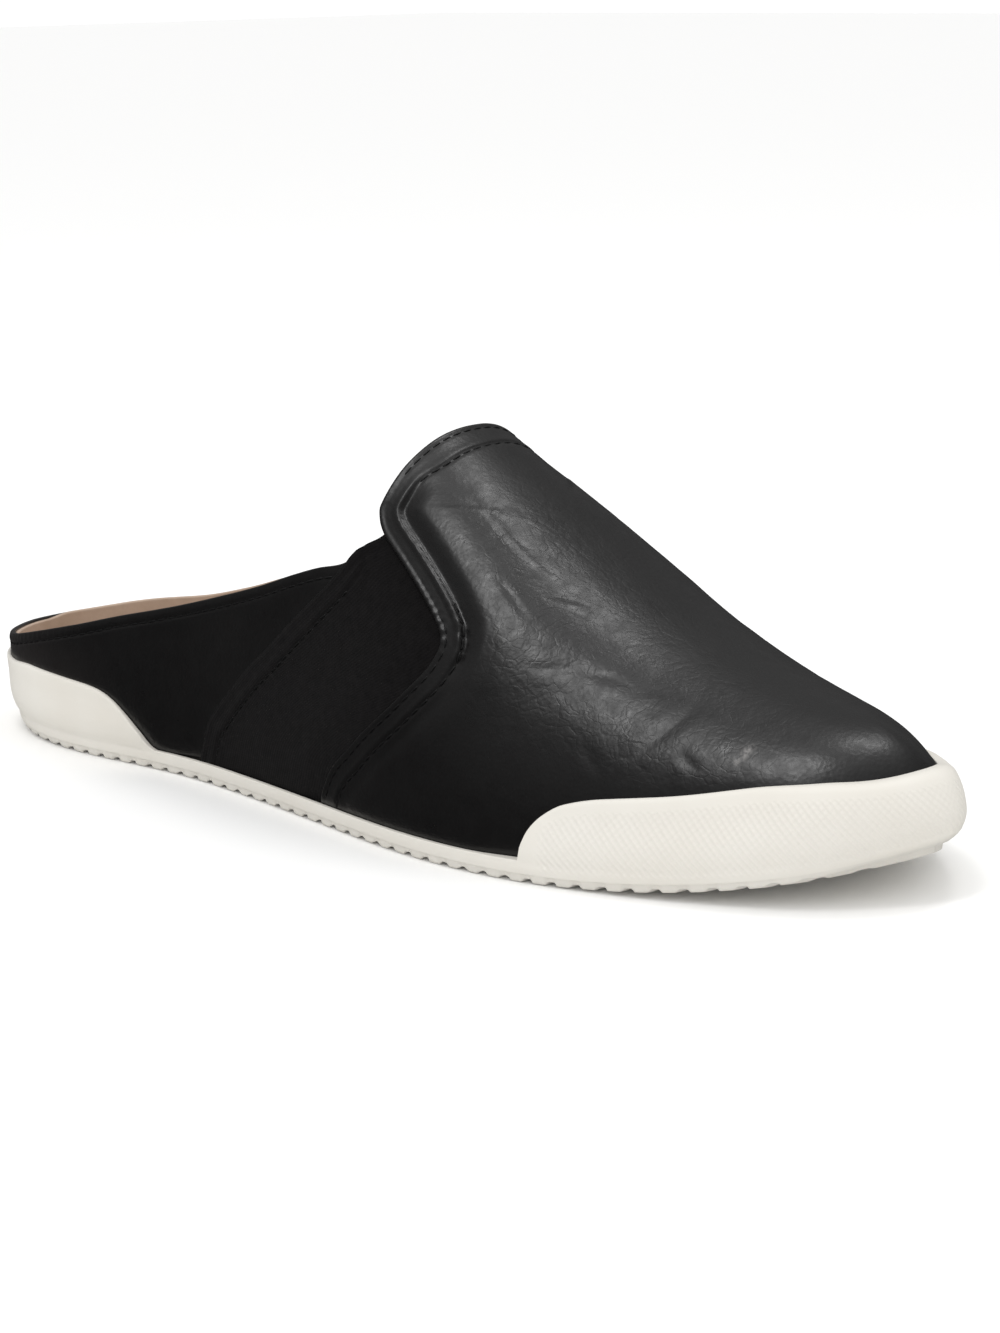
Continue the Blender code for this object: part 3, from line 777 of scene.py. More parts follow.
def leather(name, creased):
    m = Nodes(name, (0.006, 0.0057, 0.006), 0.40, Specular_IOR_Level=0.5, Coat_Weight=0.10, Coat_Roughness=0.30)
    pebble = m.cells(1050.0, "SMOOTH_F1", smoothness=0.35)
    fine = m.noise(2600.0, 2.0)
    broad = m.noise(45.0, 3.0)
    grain = m.maths("MULTIPLY_ADD", fine, 0.35, pebble)
    normal = m.bump(grain, 0.00006, 0.45)
    if creased:
        flex = m.number("flex")
        web = m.cells(400.0, "DISTANCE_TO_EDGE", place=m.warped(190.0, 0.004))
        web = m.range(web, 0.0, 0.10)
        wide = m.cells(150.0, "DISTANCE_TO_EDGE", place=m.warped(75.0, 0.009))
        wide = m.range(wide, 0.0, 0.13)
        soft = m.noise(150.0, 4.0, 0.6)
        mix = m.maths("ADD", m.maths("MULTIPLY", web, 0.13), m.maths("MULTIPLY", wide, 0.16))
        mix = m.maths("ADD", mix, m.maths("MULTIPLY", soft, 0.35))
        mix = m.maths("ADD", mix, m.maths("MULTIPLY", m.noise(520.0, 4.0, 0.6), 0.55))
        wrinkles = m.maths("MULTIPLY", mix, flex)
        normal = m.bump(wrinkles, 0.00030, 0.34, normal)
    patch = m.noise(320.0, 3.0)
    rough = m.maths("ADD", m.range(patch, 0.3, 0.7, -0.06, 0.08), m.range(broad, 0.3, 0.7, 0.31, 0.37))
    colour = m.ramp(broad, [(0.3, (0.0024, 0.0021, 0.0022)), (0.7, (0.0040, 0.0035, 0.0036))])
    # Painted reflection: low on the quarter towards the heel, the leather is tinted a lighter brown that stands for the
    # floor's reflection.
    if not creased:
        part = m.node("ShaderNodeSeparateXYZ")
        m.link(m.place, part.inputs[0])
        low = m.range(part.outputs["Z"], 0.030, 0.014)
        back = m.range(part.outputs["X"], -0.070, -0.115)
        floor_reflection = m.maths("MULTIPLY", m.maths("MULTIPLY", low, back), m.range(m.noise(120.0), 0.25, 0.75, 0.5, 1.0), clamp=True)
        colour = m.blend(floor_reflection, colour, (0.0230, 0.0182, 0.0175))
    if creased:
        worn = m.maths("MULTIPLY", m.number("scuff"), m.range(m.noise(900.0, 2.0), 0.35, 0.6), clamp=True)
        colour = m.blend(worn, colour, (0.20, 0.19, 0.185))
        rough = m.maths("ADD", rough, m.maths("MULTIPLY", worn, 0.15))
    m.set(Base_Color=colour, Roughness=rough, Normal=normal)
    return m.material


def elastic(name):
    m = Nodes(name, (0.006, 0.0056, 0.006), 0.90, Specular_IOR_Level=0.12, Sheen_Weight=0.03, Sheen_Roughness=0.5)
    rib = m.maths("SINE", m.maths("MULTIPLY", m.number("across"), 2 * math.pi / 0.00085))
    weft = m.maths("SINE", m.maths("MULTIPLY", m.number("upward"), 2 * math.pi / 0.00060))
    weave = m.maths("MULTIPLY_ADD", weft, 0.5, rib)
    fuzz = m.noise(1700.0, 3.0, 0.65)
    height = m.maths("MULTIPLY_ADD", fuzz, 3.2, weave)
    mottle = m.noise(520.0, 3.0, 0.7)
    colour = m.ramp(mottle, [(0.32, (0.0029, 0.0024, 0.0026)), (0.68, (0.0053, 0.0045, 0.0047))])
    m.set(Base_Color=colour, Normal=m.bump(height, 0.00004, 0.4))
    return m.material


def lining(name):
    m = Nodes(name, (0.60, 0.46, 0.38), 0.62, Specular_IOR_Level=0.35)
    pebble = m.cells(1300.0, "SMOOTH_F1", smoothness=0.3)
    mottle = m.noise(130.0, 4.0, 0.6)
    tan = m.ramp(mottle, [(0.3, (0.41, 0.305, 0.230)), (0.7, (0.49, 0.375, 0.295))])
    grip = m.blend(m.number("grip"), tan, (0.008, 0.0076, 0.008))
    m.set(Base_Color=grip, Normal=m.bump(m.maths("MULTIPLY_ADD", m.noise(3000.0), 0.4, pebble), 0.00005, 0.5))
    return m.material


def rubber(name):
    m = Nodes(name, (0.86, 0.835, 0.775), 0.50, Specular_IOR_Level=0.4)
    run, high = m.number("run"), m.number("high")
    first = m.maths("SINE", m.maths("MULTIPLY", m.maths("ADD", run, high), 2 * math.pi / 0.00165))
    second = m.maths("SINE", m.maths("MULTIPLY", m.maths("SUBTRACT", run, high), 2 * math.pi / 0.00165))
    knurl = m.maths("MULTIPLY", m.maths("MULTIPLY_ADD", second, 0.45, first), m.number("knurl"))
    speck = m.noise(2200.0, 3.0, 0.6)
    cloud = m.noise(38.0, 3.0)
    colour = m.ramp(cloud, [(0.3, (0.715, 0.684, 0.622)), (0.7, (0.757, 0.733, 0.678))])
    # Painted shade: the tread's lowest band and the underside are blended towards grey, standing for the shade under
    # the sole's edge.
    tread_shade = m.maths("MULTIPLY", m.number("tread"), m.range(m.noise(260.0, 4.0, 0.65), 0.25, 0.75, 0.35, 1.0))
    colour = m.blend(m.maths("MULTIPLY", tread_shade, 0.40, clamp=True), colour, (0.60, 0.58, 0.54))
    normal = m.bump(knurl, 0.000065, 0.8)
    normal = m.bump(speck, 0.00004, 0.5, normal)
    m.set(Base_Color=colour, Normal=normal)
    return m.material


def thread(name):
    m = Nodes(name, (0.0045, 0.0043, 0.0045), 0.55, Specular_IOR_Level=0.4)
    m.set(Normal=m.bump(m.noise(4000.0, 2.0), 0.00003, 0.5))
    return m.material


VAMP_LEATHER = leather("vamp_leather", True)
QUARTER_LEATHER = leather("quarter_leather", False)
ELASTIC = elastic("black_elastic_weave")
LINING = lining("tan_lining_leather")
RUBBER = rubber("off_white_moulded_rubber")
COTTON = thread("black_thread")

# ---- The vamp ----------------------------------------------------------------------
VAMP_LINE = Line(
    np.concatenate(
        [
            on_side(vamp_edge_x, 0, math.pi / 2, LATERAL),
            on_side(vamp_edge_x, 0, math.pi / 2, MEDIAL)[::-1][1:],
        ]
    )
)
BEND = {}
for _side in (LATERAL, MEDIAL):
    _turn = np.linspace(0, math.pi / 2, 900)
    BEND[_side] = (on_side(vamp_edge_x, 0, math.pi / 2, _side), _turn)


def line_turn():
    """The turn at each s of the vamp's edge."""
    both = np.concatenate([BEND[LATERAL][0], BEND[MEDIAL][0][::-1][1:]])
    turn = np.concatenate([BEND[LATERAL][1], BEND[MEDIAL][1][::-1][1:]])
    run = np.concatenate([[0], np.cumsum(np.linalg.norm(np.diff(both, axis=0), axis=1))])
    return run, turn


RUN, RUN_TURN = line_turn()


def spaced(first, fine, rest, coarse):
    """Steps from 0: along a rolled edge, then fine over the first length, then coarse."""
    steps = [0.0, 0.06, 0.14, 0.25, 0.38, 0.55, 0.8, 1.1]
    while steps[-1] < first:
        steps.append(steps[-1] + fine)
    n = max(2, int(round((rest - steps[-1]) / coarse)))
    return np.array(steps + list(np.linspace(steps[-1], rest, n + 1)[1:]))


def rubber_mask(points):
    """0 where the rubber covers the upper, 1 from 2.5 mm above it."""
    x = points[..., 0] + ORIGIN[0]
    over = points[..., 2] - underside(x) - rubber_top(x)
    return smooth(over, -0.0005, 0.0025)


def make_vamp():
    turns = edge_turns(VAMP_EDGE, 0, math.pi / 2, 172)
    v = np.concatenate([signed(turns, LATERAL), signed(turns, MEDIAL)[::-1][1:]])
    turn = (1 - np.abs(v)) * math.pi / 2
    start = share_of(vamp_edge_x(turn))
    steps = spaced(15.0, 0.42, 152.0, 0.92) / 152.0
    t = start[:, None] + (1 - start[:, None]) * steps[None, :]
    vv = np.repeat(v[:, None], t.shape[1], axis=1)
    base = skin(t, vv)
    normal = grid_normals(base, folded=True)
    d, s = VAMP_LINE.near(base)
    at = np.interp(s, RUN, RUN_TURN)
    d = d / MM
    side = smooth(at, 0.50, 0.66) * (1 - smooth(at, 0.90, 1.12))
    low = 1 - smooth(at, 0.45, 0.62)
    top = smooth(at, 0.95, 1.15)
    cover = rubber_mask(base)

    groove = 5.35 + 1.45 * smooth(at, 1.02, 1.25)
    section = steady_curve(
        [0.0, 0.6, 1.6, 3.0, 4.15, 4.65, 5.1, 5.6, 7.0, 8.6, 10.0, 13.0, 20.0, 30.0],
        [0.30, 0.50, 0.26, 0.24, 0.48, 0.44, -0.44, -0.66, -0.36, 0.18, 0.42, 0.42, 0.20, 0.0],
    )
    h = side * section(np.minimum(d, 30.0))
    h += (0.24 * low + 0.10 * top) * (1 - smooth(d, 5.0, 15.0))
    h += (0.10 * low + 0.08 * top) * bell(d, 0.55, 0.55)
    h -= 0.14 * top * bell(d, 1.45, 0.28) + 0.10 * low * bell(d, 1.7, 0.3)
    h += 0.12 * low * bell(d, 4.35, 0.75) + 0.10 * top * bell(d, groove - 1.1, 0.9)
    h -= (0.26 * top + 0.24 * low) * bell(d, groove, 0.38)
    h += low * (-0.25 * bell(d, 7.4, 1.7) + 0.15 * bell(d, 12.0, 3.0))
    gather = bell(at, 0.665, 0.055) * (bell(d, 0.8, 0.9) + bell(d, 4.6, 0.9))
    h += 0.13 * gather * np.cos(2 * math.pi * s / 0.0021)
    h = h * MM

    flex = np.zeros(d.shape)
    for depth, width, line in CREASES:
        for where, share in ((LATERAL, 1.0), (MEDIAL, 0.6)):
            table = np.array(line)
            k = np.linspace(0, len(line) - 1, 120)
            x = np.interp(k, range(len(line)), table[:, 0]) * MM
            a = np.interp(k, range(len(line)), table[:, 1])
            points = skin(share_of(x), signed(a, where))
            box = np.abs(base - points.mean(axis=0)).max(axis=2) < 0.040
            crease = Line(points, 0.0004)
            dist, along = crease.near(base[box])
            dist, taper = dist / MM, np.sin(math.pi * np.clip(along / crease.s[-1], 0.02, 0.98)) ** 0.6
            wave = -bell(dist, 0, width) + 0.30 * bell(dist, 2.6 * width, 1.5 * width)
            h[box] += depth * share * wave * taper * MM

    x = base[..., 0] + ORIGIN[0]
    ball = smooth(x, 0.150, 0.172) * (1 - smooth(x, 0.232, 0.250)) * smooth(turn, 0.30, 0.62)[:, None]
    ball = ball * smooth(d, 8.0, 14.0)
    flat = base.reshape(-1, 3)
    slow = np.array([noise.noise(Vector(p * 62.0)) for p in flat]).reshape(d.shape)
    quick = np.array([noise.noise(Vector(p * 190.0 + 7.0)) for p in flat]).reshape(d.shape)
    h += (0.10 * slow + 0.05 * quick) * MM * ball
    h += 0.05 * slow * MM * (1 - ball)
    h = h * cover + 0.0 * d
    edge = roll(d * MM, 0.42 * MM)
    outer = base + normal * (h + edge)[..., None]
    inner = base + normal * (np.minimum(h - LEATHER, -0.70 * MM) - edge * 0.8)[..., None]
    flex = 0.10 + 0.90 * ball

    line = np.array(SCUFF)
    k = np.linspace(0, 2, 60)
    mark = Line(
        skin(
            share_of(np.interp(k, range(3), line[:, 0]) * MM),
            signed(np.interp(k, range(3), line[:, 1]), LATERAL),
        ),
        0.0003,
    )
    near, _ = mark.near(base)
    scuff = bell(near / MM, 0, 0.75)
    obj = shell("vamp", outer, inner, VAMP_LEATHER, True, {"flex": flex * cover, "scuff": scuff})
    return obj, base, normal, outer


vamp, VAMP_BASE, VAMP_NORMAL, VAMP_OUTER = make_vamp()


# ---- Quarter ------------------------------------------------------------------------
# How far the panels' rim stands above the solid's rim: x in mm, then mm
RIM_TRIM = {
    LATERAL: steady_curve([0.0, 6 * MM, 22 * MM, 46 * MM, 66 * MM, 118 * MM], [0.65 * MM, 0.05 * MM, -0.95 * MM, -0.85 * MM, -0.15 * MM, 0.0]),
    MEDIAL: steady_curve([0.0, 6 * MM, 50 * MM, 90 * MM, 118 * MM], [0.65 * MM, 0.80 * MM, 0.70 * MM, 0.10 * MM, 0.0]),
}


def trimmed(side):
    def level(x):
        return RIM_Z[side](x) + RIM_TRIM[side](np.clip(x, 0.0, 118 * MM))

    return level


def rim_turn(t):
    """The rim's turn on each side at shares t, for feet up to the gore's corner."""
    found = {LATERAL: turn_at(LATERAL, t, trimmed(LATERAL))}
    found[MEDIAL] = turn_at(MEDIAL, medial_share(t), trimmed(MEDIAL))
    return found


QUARTER_END = 0.1425
RIM_SHARES = np.linspace(0, float(share_of(CORNER_X)), 700)
RIM_TURN = rim_turn(RIM_SHARES)


def rim_line(side, end=CORNER_X):
    t = np.linspace(0, float(share_of(end)), 700)
    return skin(t, signed(np.interp(t, RIM_SHARES, RIM_TURN[side]), side))


RIM_LINE = Line(np.concatenate([rim_line(LATERAL)[::-1], rim_line(MEDIAL)[1:]]))
GORE_LINES = {side: Line(on_side(gore_edge_x, 0, GORE_CORNER_TURN, side)) for side in (LATERAL, MEDIAL)}
GORE_TOPS = {side: Line(on_side(gore_edge_x, GORE_CORNER_TURN, CORNER_TURN, side)) for side in (LATERAL, MEDIAL)}


def rows_from_edge(first, fine, count):
    """Shares from 0 at the foot to 1 at a rolled top edge, for a wall about 35 mm high."""
    steps = spaced(first, fine, 36.0, 36.0 / count)
    return 1 - steps[::-1] / 36.0


def quarter_grid(end, columns, rows):
    """Grids t and v of the quarter's region from one side's front over the heel to the
    other's. Rows go up and columns along the foot."""
    half = np.linspace(0, 1, columns)
    half = (0.82 * half + 0.18 * half**1.8) * float(share_of(end))
    up = rows
    grids = {}
    for side in (LATERAL, MEDIAL):
        reach = np.ones(len(up))
        if end < CORNER_X:
            reach = share_of(np.minimum(gore_edge_x(0.62 * up) + 0.008, end)) / share_of(end)
        t = half[None, :] * reach[:, None]
        v = signed(up[:, None] * np.interp(t, RIM_SHARES, RIM_TURN[side]), side)
        grids[side] = (t, v)
    return grids


def around_heel(make):
    """Joins one side's grid of points (rows up, columns heel to toe) to the other's
    across the heel, as one grid whose columns go around from lateral to medial."""
    lateral, medial = make(LATERAL), make(MEDIAL)
    middle = [(a[:, :1] + b[:, :1]) / 2 for a, b in zip(lateral, medial)]
    return [
        np.concatenate([a[:, :0:-1], m, b[:, 1:]], axis=1)
        for a, m, b in zip(lateral, middle, medial)
    ]


def wall_normals(points):
    """Outward normals of a grid that goes around the heel: rows up, columns from the
    lateral front around the heel to the medial front."""
    return unit(np.cross(np.gradient(points, axis=0), np.gradient(points, axis=1)))


def make_quarter():
    rows = rows_from_edge(6.0, 0.45, 56)
    grids = quarter_grid(QUARTER_END, 210, rows)
    base = around_heel(lambda side: [skin(*grids[side])])[0]
    normal = wall_normals(base)
    d_rim, s_rim = RIM_LINE.near(base)
    d_rim = d_rim / MM
    d_gore = np.minimum(GORE_LINES[LATERAL].near(base)[0], GORE_LINES[MEDIAL].near(base)[0]) / MM
    x = base[..., 0] + ORIGIN[0]
    cover = rubber_mask(base)
    # Under the gore the quarter lies lower.
    ahead = np.zeros(x.shape)
    columns = grids[LATERAL][0].shape[1]
    turn = {side: (1 - np.abs(grids[side][1])) * math.pi / 2 for side in grids}
    past = {
        side: (foot_at(LATERAL, grids[side][0])[0] > gore_edge_x(np.minimum(turn[side], GORE_CORNER_TURN))).astype(float)
        for side in grids
    }
    under = around_heel(lambda side: [past[side]])[0]
    dip = np.where(under > 0.5, 1.0, 1 - smooth(d_gore, 0.0, 9.0))
    h = -0.58 * dip - 0.40 * np.where(under > 0.5, smooth(d_gore, 0.8, 5.0), 0.0)
    band = 1 - 0.75 * smooth(x, 0.100, 0.135)
    h += band * (0.16 * bell(d_rim, 1.3, 0.8) - 0.26 * bell(d_rim, 2.45, 0.30)) + 0.10 * (1 - smooth(d_rim, 3.0, 7.0))
    pucker = (1 - smooth(x, 0.045, 0.085)) * bell(d_rim, 1.25, 0.85)
    h += 0.085 * pucker * np.cos(2 * math.pi * s_rim / 0.0023)
    flat = base.reshape(-1, 3)
    slow = np.array([noise.noise(Vector(p * 50.0 + 3.0)) for p in flat]).reshape(x.shape)
    h += 0.09 * slow
    h = h * MM * cover - 0.58 * MM * dip * (1 - cover)
    # A rim under the gore stays hidden.
    edge = roll(d_rim * MM, 0.38 * MM)
    lower = np.where(under > 0.5, 1 - smooth(d_rim, 0.0, 2.5), 0.0) * smooth(x, 0.1375, 0.1415)
    outer = base + normal * (h + edge)[..., None]
    outer[..., 2] -= 0.0016 * lower
    inner = base + normal * (-1.15 * MM - edge * 0.5)[..., None]
    inner[..., 2] -= 0.0016 * lower
    obj = shell("quarter", outer[:, ::-1], inner[:, ::-1], QUARTER_LEATHER)
    return obj, outer, normal


quarter, QUARTER_OUTER, QUARTER_NORMAL = make_quarter()


# ---- Gores ------------------------------------------------------------------------
def make_gore(side):
    name = "gore_lateral" if side == LATERAL else "gore_medial"
    low = edge_turns(GORE_EDGE, 0, GORE_CORNER_TURN, 96, 0.2)
    high = edge_turns(GORE_EDGE, GORE_CORNER_TURN, CORNER_TURN + 0.02, 22, 0.2)
    turn = np.concatenate([low, high[1:]])
    left = share_of(gore_edge_x(np.minimum(turn, CORNER_TURN)))
    right = share_of(vamp_edge_x(turn) + 0.0065)
    steps = spaced(8.0, 0.42, 52.0, 0.62) / 52.0
    t = left[:, None] + (right - left)[:, None] * steps[None, :]
    v = np.repeat(signed(turn, side)[:, None], t.shape[1], axis=1)
    base = skin(t, v)
    normal = grid_normals(base) * (1 if side == LATERAL else -1)
    back, s_back = GORE_LINES[side].near(base)
    top, s_top = GORE_TOPS[side].near(base)
    front, _ = VAMP_LINE.near(base)
    back, top, front = back / MM, top / MM, front / MM
    ahead = foot_at(LATERAL, t)[0] > vamp_edge_x(turn)[:, None]
    front = np.where(ahead, -front, front)
    edge = np.minimum(back, top)
    h = 0.34 * (1 - smooth(back, 3.0, 9.0)) - 0.22
    h -= 0.55 * (1 - smooth(front, 0.5, 9.0))
    h += 0.10 * bell(back, 1.0, 0.8) - 0.16 * bell(back, 5.2, 0.32) + 0.10 * bell(back, 3.8, 0.8)
    h += 0.08 * bell(top, 1.2, 0.8) - 0.10 * bell(top, 2.7, 0.4)
    flat = base.reshape(-1, 3)
    slow = np.array([noise.noise(Vector(p * 85.0 + 11.0)) for p in flat]).reshape(back.shape)
    h += 0.12 * slow * smooth(back, 5.0, 12.0) * smooth(front, 1.0, 8.0)
    h = np.maximum(h * MM, -0.80 * MM)
    cut = roll(edge * MM, 0.33 * MM)
    outer = base + normal * (h + cut)[..., None]
    inner = base + normal * (np.minimum(h - 0.45 * MM, -0.40 * MM) - cut * 0.5)[..., None]
    run_up = np.concatenate([np.zeros((1,) + back.shape[1:]), np.cumsum(np.linalg.norm(np.diff(base, axis=0), axis=2), axis=0)])
    across = np.concatenate([np.zeros((back.shape[0], 1)), np.cumsum(np.linalg.norm(np.diff(base, axis=1), axis=2), axis=1)], axis=1)
    if side == LATERAL:
        obj = shell(name, outer, inner, ELASTIC, values={"across": across, "upward": run_up})
    else:
        obj = shell(name, outer[::-1], inner[::-1], ELASTIC, values={"across": across[::-1], "upward": run_up[::-1]})
    return obj, outer, normal


gores = {side: make_gore(side) for side in (LATERAL, MEDIAL)}


# ---- Linings -----------------------------------------------------------------------
def make_vamp_lining():
    low = np.linspace(0, CORNER_TURN, 44)
    high = edge_turns(VAMP_EDGE, CORNER_TURN, math.pi / 2, 52, 0.3)
    turns = np.concatenate([low, high[1:]])
    v = np.concatenate([signed(turns, LATERAL), signed(turns, MEDIAL)[::-1][1:]])
    turn = (1 - np.abs(v)) * math.pi / 2
    start = share_of(np.where(turn < CORNER_TURN, CORNER_X, vamp_edge_x(turn)))
    steps = spaced(4.0, 0.6, 152.0, 2.0) / 152.0
    t = start[:, None] + (1 - start[:, None]) * steps[None, :]
    base = skin(t, np.repeat(v[:, None], t.shape[1], axis=1))
    normal = grid_normals(base, folded=True)
    d = VAMP_LINE.near(base)[0]
    cut = roll(d, 0.35 * MM)
    outer = base + normal * (-1.18 * MM + 0.0 * cut)[..., None]
    inner = base + normal * (-2.0 * MM - cut)[..., None]
    return shell("lining_vamp", outer, inner, LINING, True, {"grip": np.zeros(d.shape)}, coarse=1)


def make_quarter_lining():
    rows = rows_from_edge(3.0, 0.5, 30)
    grids = quarter_grid(CORNER_X, 110, rows)
    base = around_heel(lambda side: [skin(*grids[side])])[0]
    normal = wall_normals(base)
    d_rim, s_rim = RIM_LINE.near(base)
    cut = roll(d_rim, 0.38 * MM)
    outer = base + normal * (-1.18 * MM)
    inner = base + normal * (-2.0 * MM - cut)[..., None]
    x = base[..., 0] + ORIGIN[0]
    lateral = base[..., 1] < 0
    grip = np.zeros(x.shape)
    far = smooth(base[..., 1], -0.006, 0.002)
    rise = (0.32 * far - 0.45 * (1 - far)) * MM * (1 - smooth(d_rim, 0.0, 0.003))
    rise = rise * (1 - smooth(x, 0.095, 0.12))
    outer[..., 2] += rise
    inner[..., 2] += rise
    return shell("lining_quarter", outer[:, ::-1], inner[:, ::-1], LINING, values={"grip": grip[:, ::-1]}, coarse=1)


vamp_lining, quarter_lining = make_vamp_lining(), make_quarter_lining()


# ---- Stitches --------------------------------------------------------------------
def offset_line(line, surface, normals, distance, low=0.0, high=1.0, skip=None):
    """Points and normals on a surface at a distance from one of its edges, between the
    shares low and high of that edge. The edge's inner side is where the surface is."""
    flat, flat_n = surface.reshape(-1, 3), normals.reshape(-1, 3)
    tree = KDTree(len(flat))
    for i, p in enumerate(flat):
        tree.insert(p, i)
    tree.balance()
    edge, s = resample(line.points, 0.0004)
    keep = (s >= low * s[-1]) & (s <= high * s[-1])
    edge, s = edge[keep], s[keep]
    along = unit(np.gradient(edge, axis=0))
    away = distance(s) if callable(distance) else np.full(len(s), distance)
    points, found_n = [], []
    for p, a, distance in zip(edge, along, away):
        i = tree.find(p)[1]
        n = flat_n[i]
        b = np.cross(n, a)
        b /= np.linalg.norm(b)
        best = None
        for sign in (1, -1):
            q = p + b * sign * distance
            co, j, gap = tree.find(q)
            if best is None or gap < best[0]:
                best = (gap, q, j)
        _, q, j = best
        n = flat_n[j]
        q = q - n * np.dot(q - flat[j], n)
        points.append(q)
        found_n.append(n)
    return np.array(points), np.array(found_n)


class Threads:
    """Collects stitches as short tubes that dip into the leather at both ends."""

    def __init__(self):
        self.points, self.faces = [], []

    def sew(self, points, normals, stitch=STITCH, gap=STITCH_GAP, radius=THREAD, sink=0.0):
        run = np.concatenate([[0], np.cumsum(np.linalg.norm(np.diff(points, axis=0), axis=1))])
        pitch = stitch + gap
        count = int(run[-1] // pitch)
        for k in range(count):
            middle = (k + 0.5) * pitch + (run[-1] - count * pitch) / 2
            s = middle + np.array([-0.5, -0.42, -0.2, 0.0, 0.2, 0.42, 0.5]) * stitch
            drop = np.array([-0.00030, -0.00004, 0.00007, 0.00010, 0.00007, -0.00004, -0.00030]) - sink
            c = np.column_stack([np.interp(s, run, points[:, i]) for i in range(3)])
            n = unit(np.column_stack([np.interp(s, run, normals[:, i]) for i in range(3)]))
            c = c + n * drop[:, None]
            along = unit(np.gradient(c, axis=0))
            b = unit(np.cross(along, n))
            n = np.cross(b, along)
            size = radius * np.array([0.7, 0.95, 1.0, 1.0, 1.0, 0.95, 0.7])
            first = len(self.points)
            sides = 7
            for i in range(len(s)):
                for j in range(sides):
                    a = 2 * math.pi * j / sides
                    self.points.append(c[i] + size[i] * (b[i] * math.cos(a) + n[i] * 0.85 * math.sin(a)))
            for i in range(len(s) - 1):
                for j in range(sides):
                    m = (j + 1) % sides
                    self.faces.append([first + i * sides + j, first + i * sides + m, first + (i + 1) * sides + m, first + (i + 1) * sides + j])
            self.faces.append([first + j for j in range(sides)][::-1])
            self.faces.append([first + (len(s) - 1) * sides + j for j in range(sides)])

    def piece(self, name):
        obj = add(name, self.points, self.faces, COTTON)
        weld(obj, 1e-7)
        return obj


vamp_threads, quarter_threads, gore_threads = Threads(), Threads(), Threads()



def second_row(s):
    """How far the band's second row of stitches runs from the vamp's edge."""
    turn = np.interp(s, RUN, RUN_TURN)
    return (5.35 + 1.45 * smooth(turn, 1.02, 1.25)) * MM


_first = offset_line(VAMP_LINE, VAMP_OUTER, VAMP_NORMAL, 0.0015, 0.012, 0.988)
_turns = np.interp(VAMP_LINE.near(_first[0])[1], RUN, RUN_TURN)
_change = np.flatnonzero(np.diff((_turns > 0.70) & (_turns < 1.02)))
_parts = np.split(np.arange(len(_turns)), _change + 1)
for _part in _parts[::2]:
    vamp_threads.sew(_first[0][_part], _first[1][_part], radius=0.00018)
_second = offset_line(VAMP_LINE, VAMP_OUTER, VAMP_NORMAL, second_row, 0.012, 0.988)
_turns = np.interp(VAMP_LINE.near(_second[0])[1], RUN, RUN_TURN)
_change = np.flatnonzero(np.diff((_turns > 0.70) & (_turns < 1.01)))
for _part in np.split(np.arange(len(_turns)), _change + 1)[::2]:
    vamp_threads.sew(_second[0][_part], _second[1][_part])
_rim = Line(np.concatenate([rim_line(LATERAL, 0.1365)[::-1], rim_line(MEDIAL, 0.1365)[1:]]))
quarter_threads.sew(*offset_line(_rim, QUARTER_OUTER, QUARTER_NORMAL, 0.00245, 0.0, 1.0))
for _side in (LATERAL, MEDIAL):
    _, _outer, _normal = gores[_side]
    gore_threads.sew(*offset_line(GORE_LINES[_side], _outer, _normal, 0.0052, 0.06, 0.97), stitch=0.0021)
threads = [
    vamp_threads.piece("vamp_stitches"),
    quarter_threads.piece("quarter_stitches"),
    gore_threads.piece("gore_stitches"),
]


# ---- The sole ---------------------------------------------------------------------
def rib(x):
    """1 on a rib of the tread and 0 in the groove between two ribs."""
    phase = (x - 0.080 * LENGTH) / TREAD_PITCH
    return smooth(np.abs(phase - np.round(phase)), 0.13, 0.25)


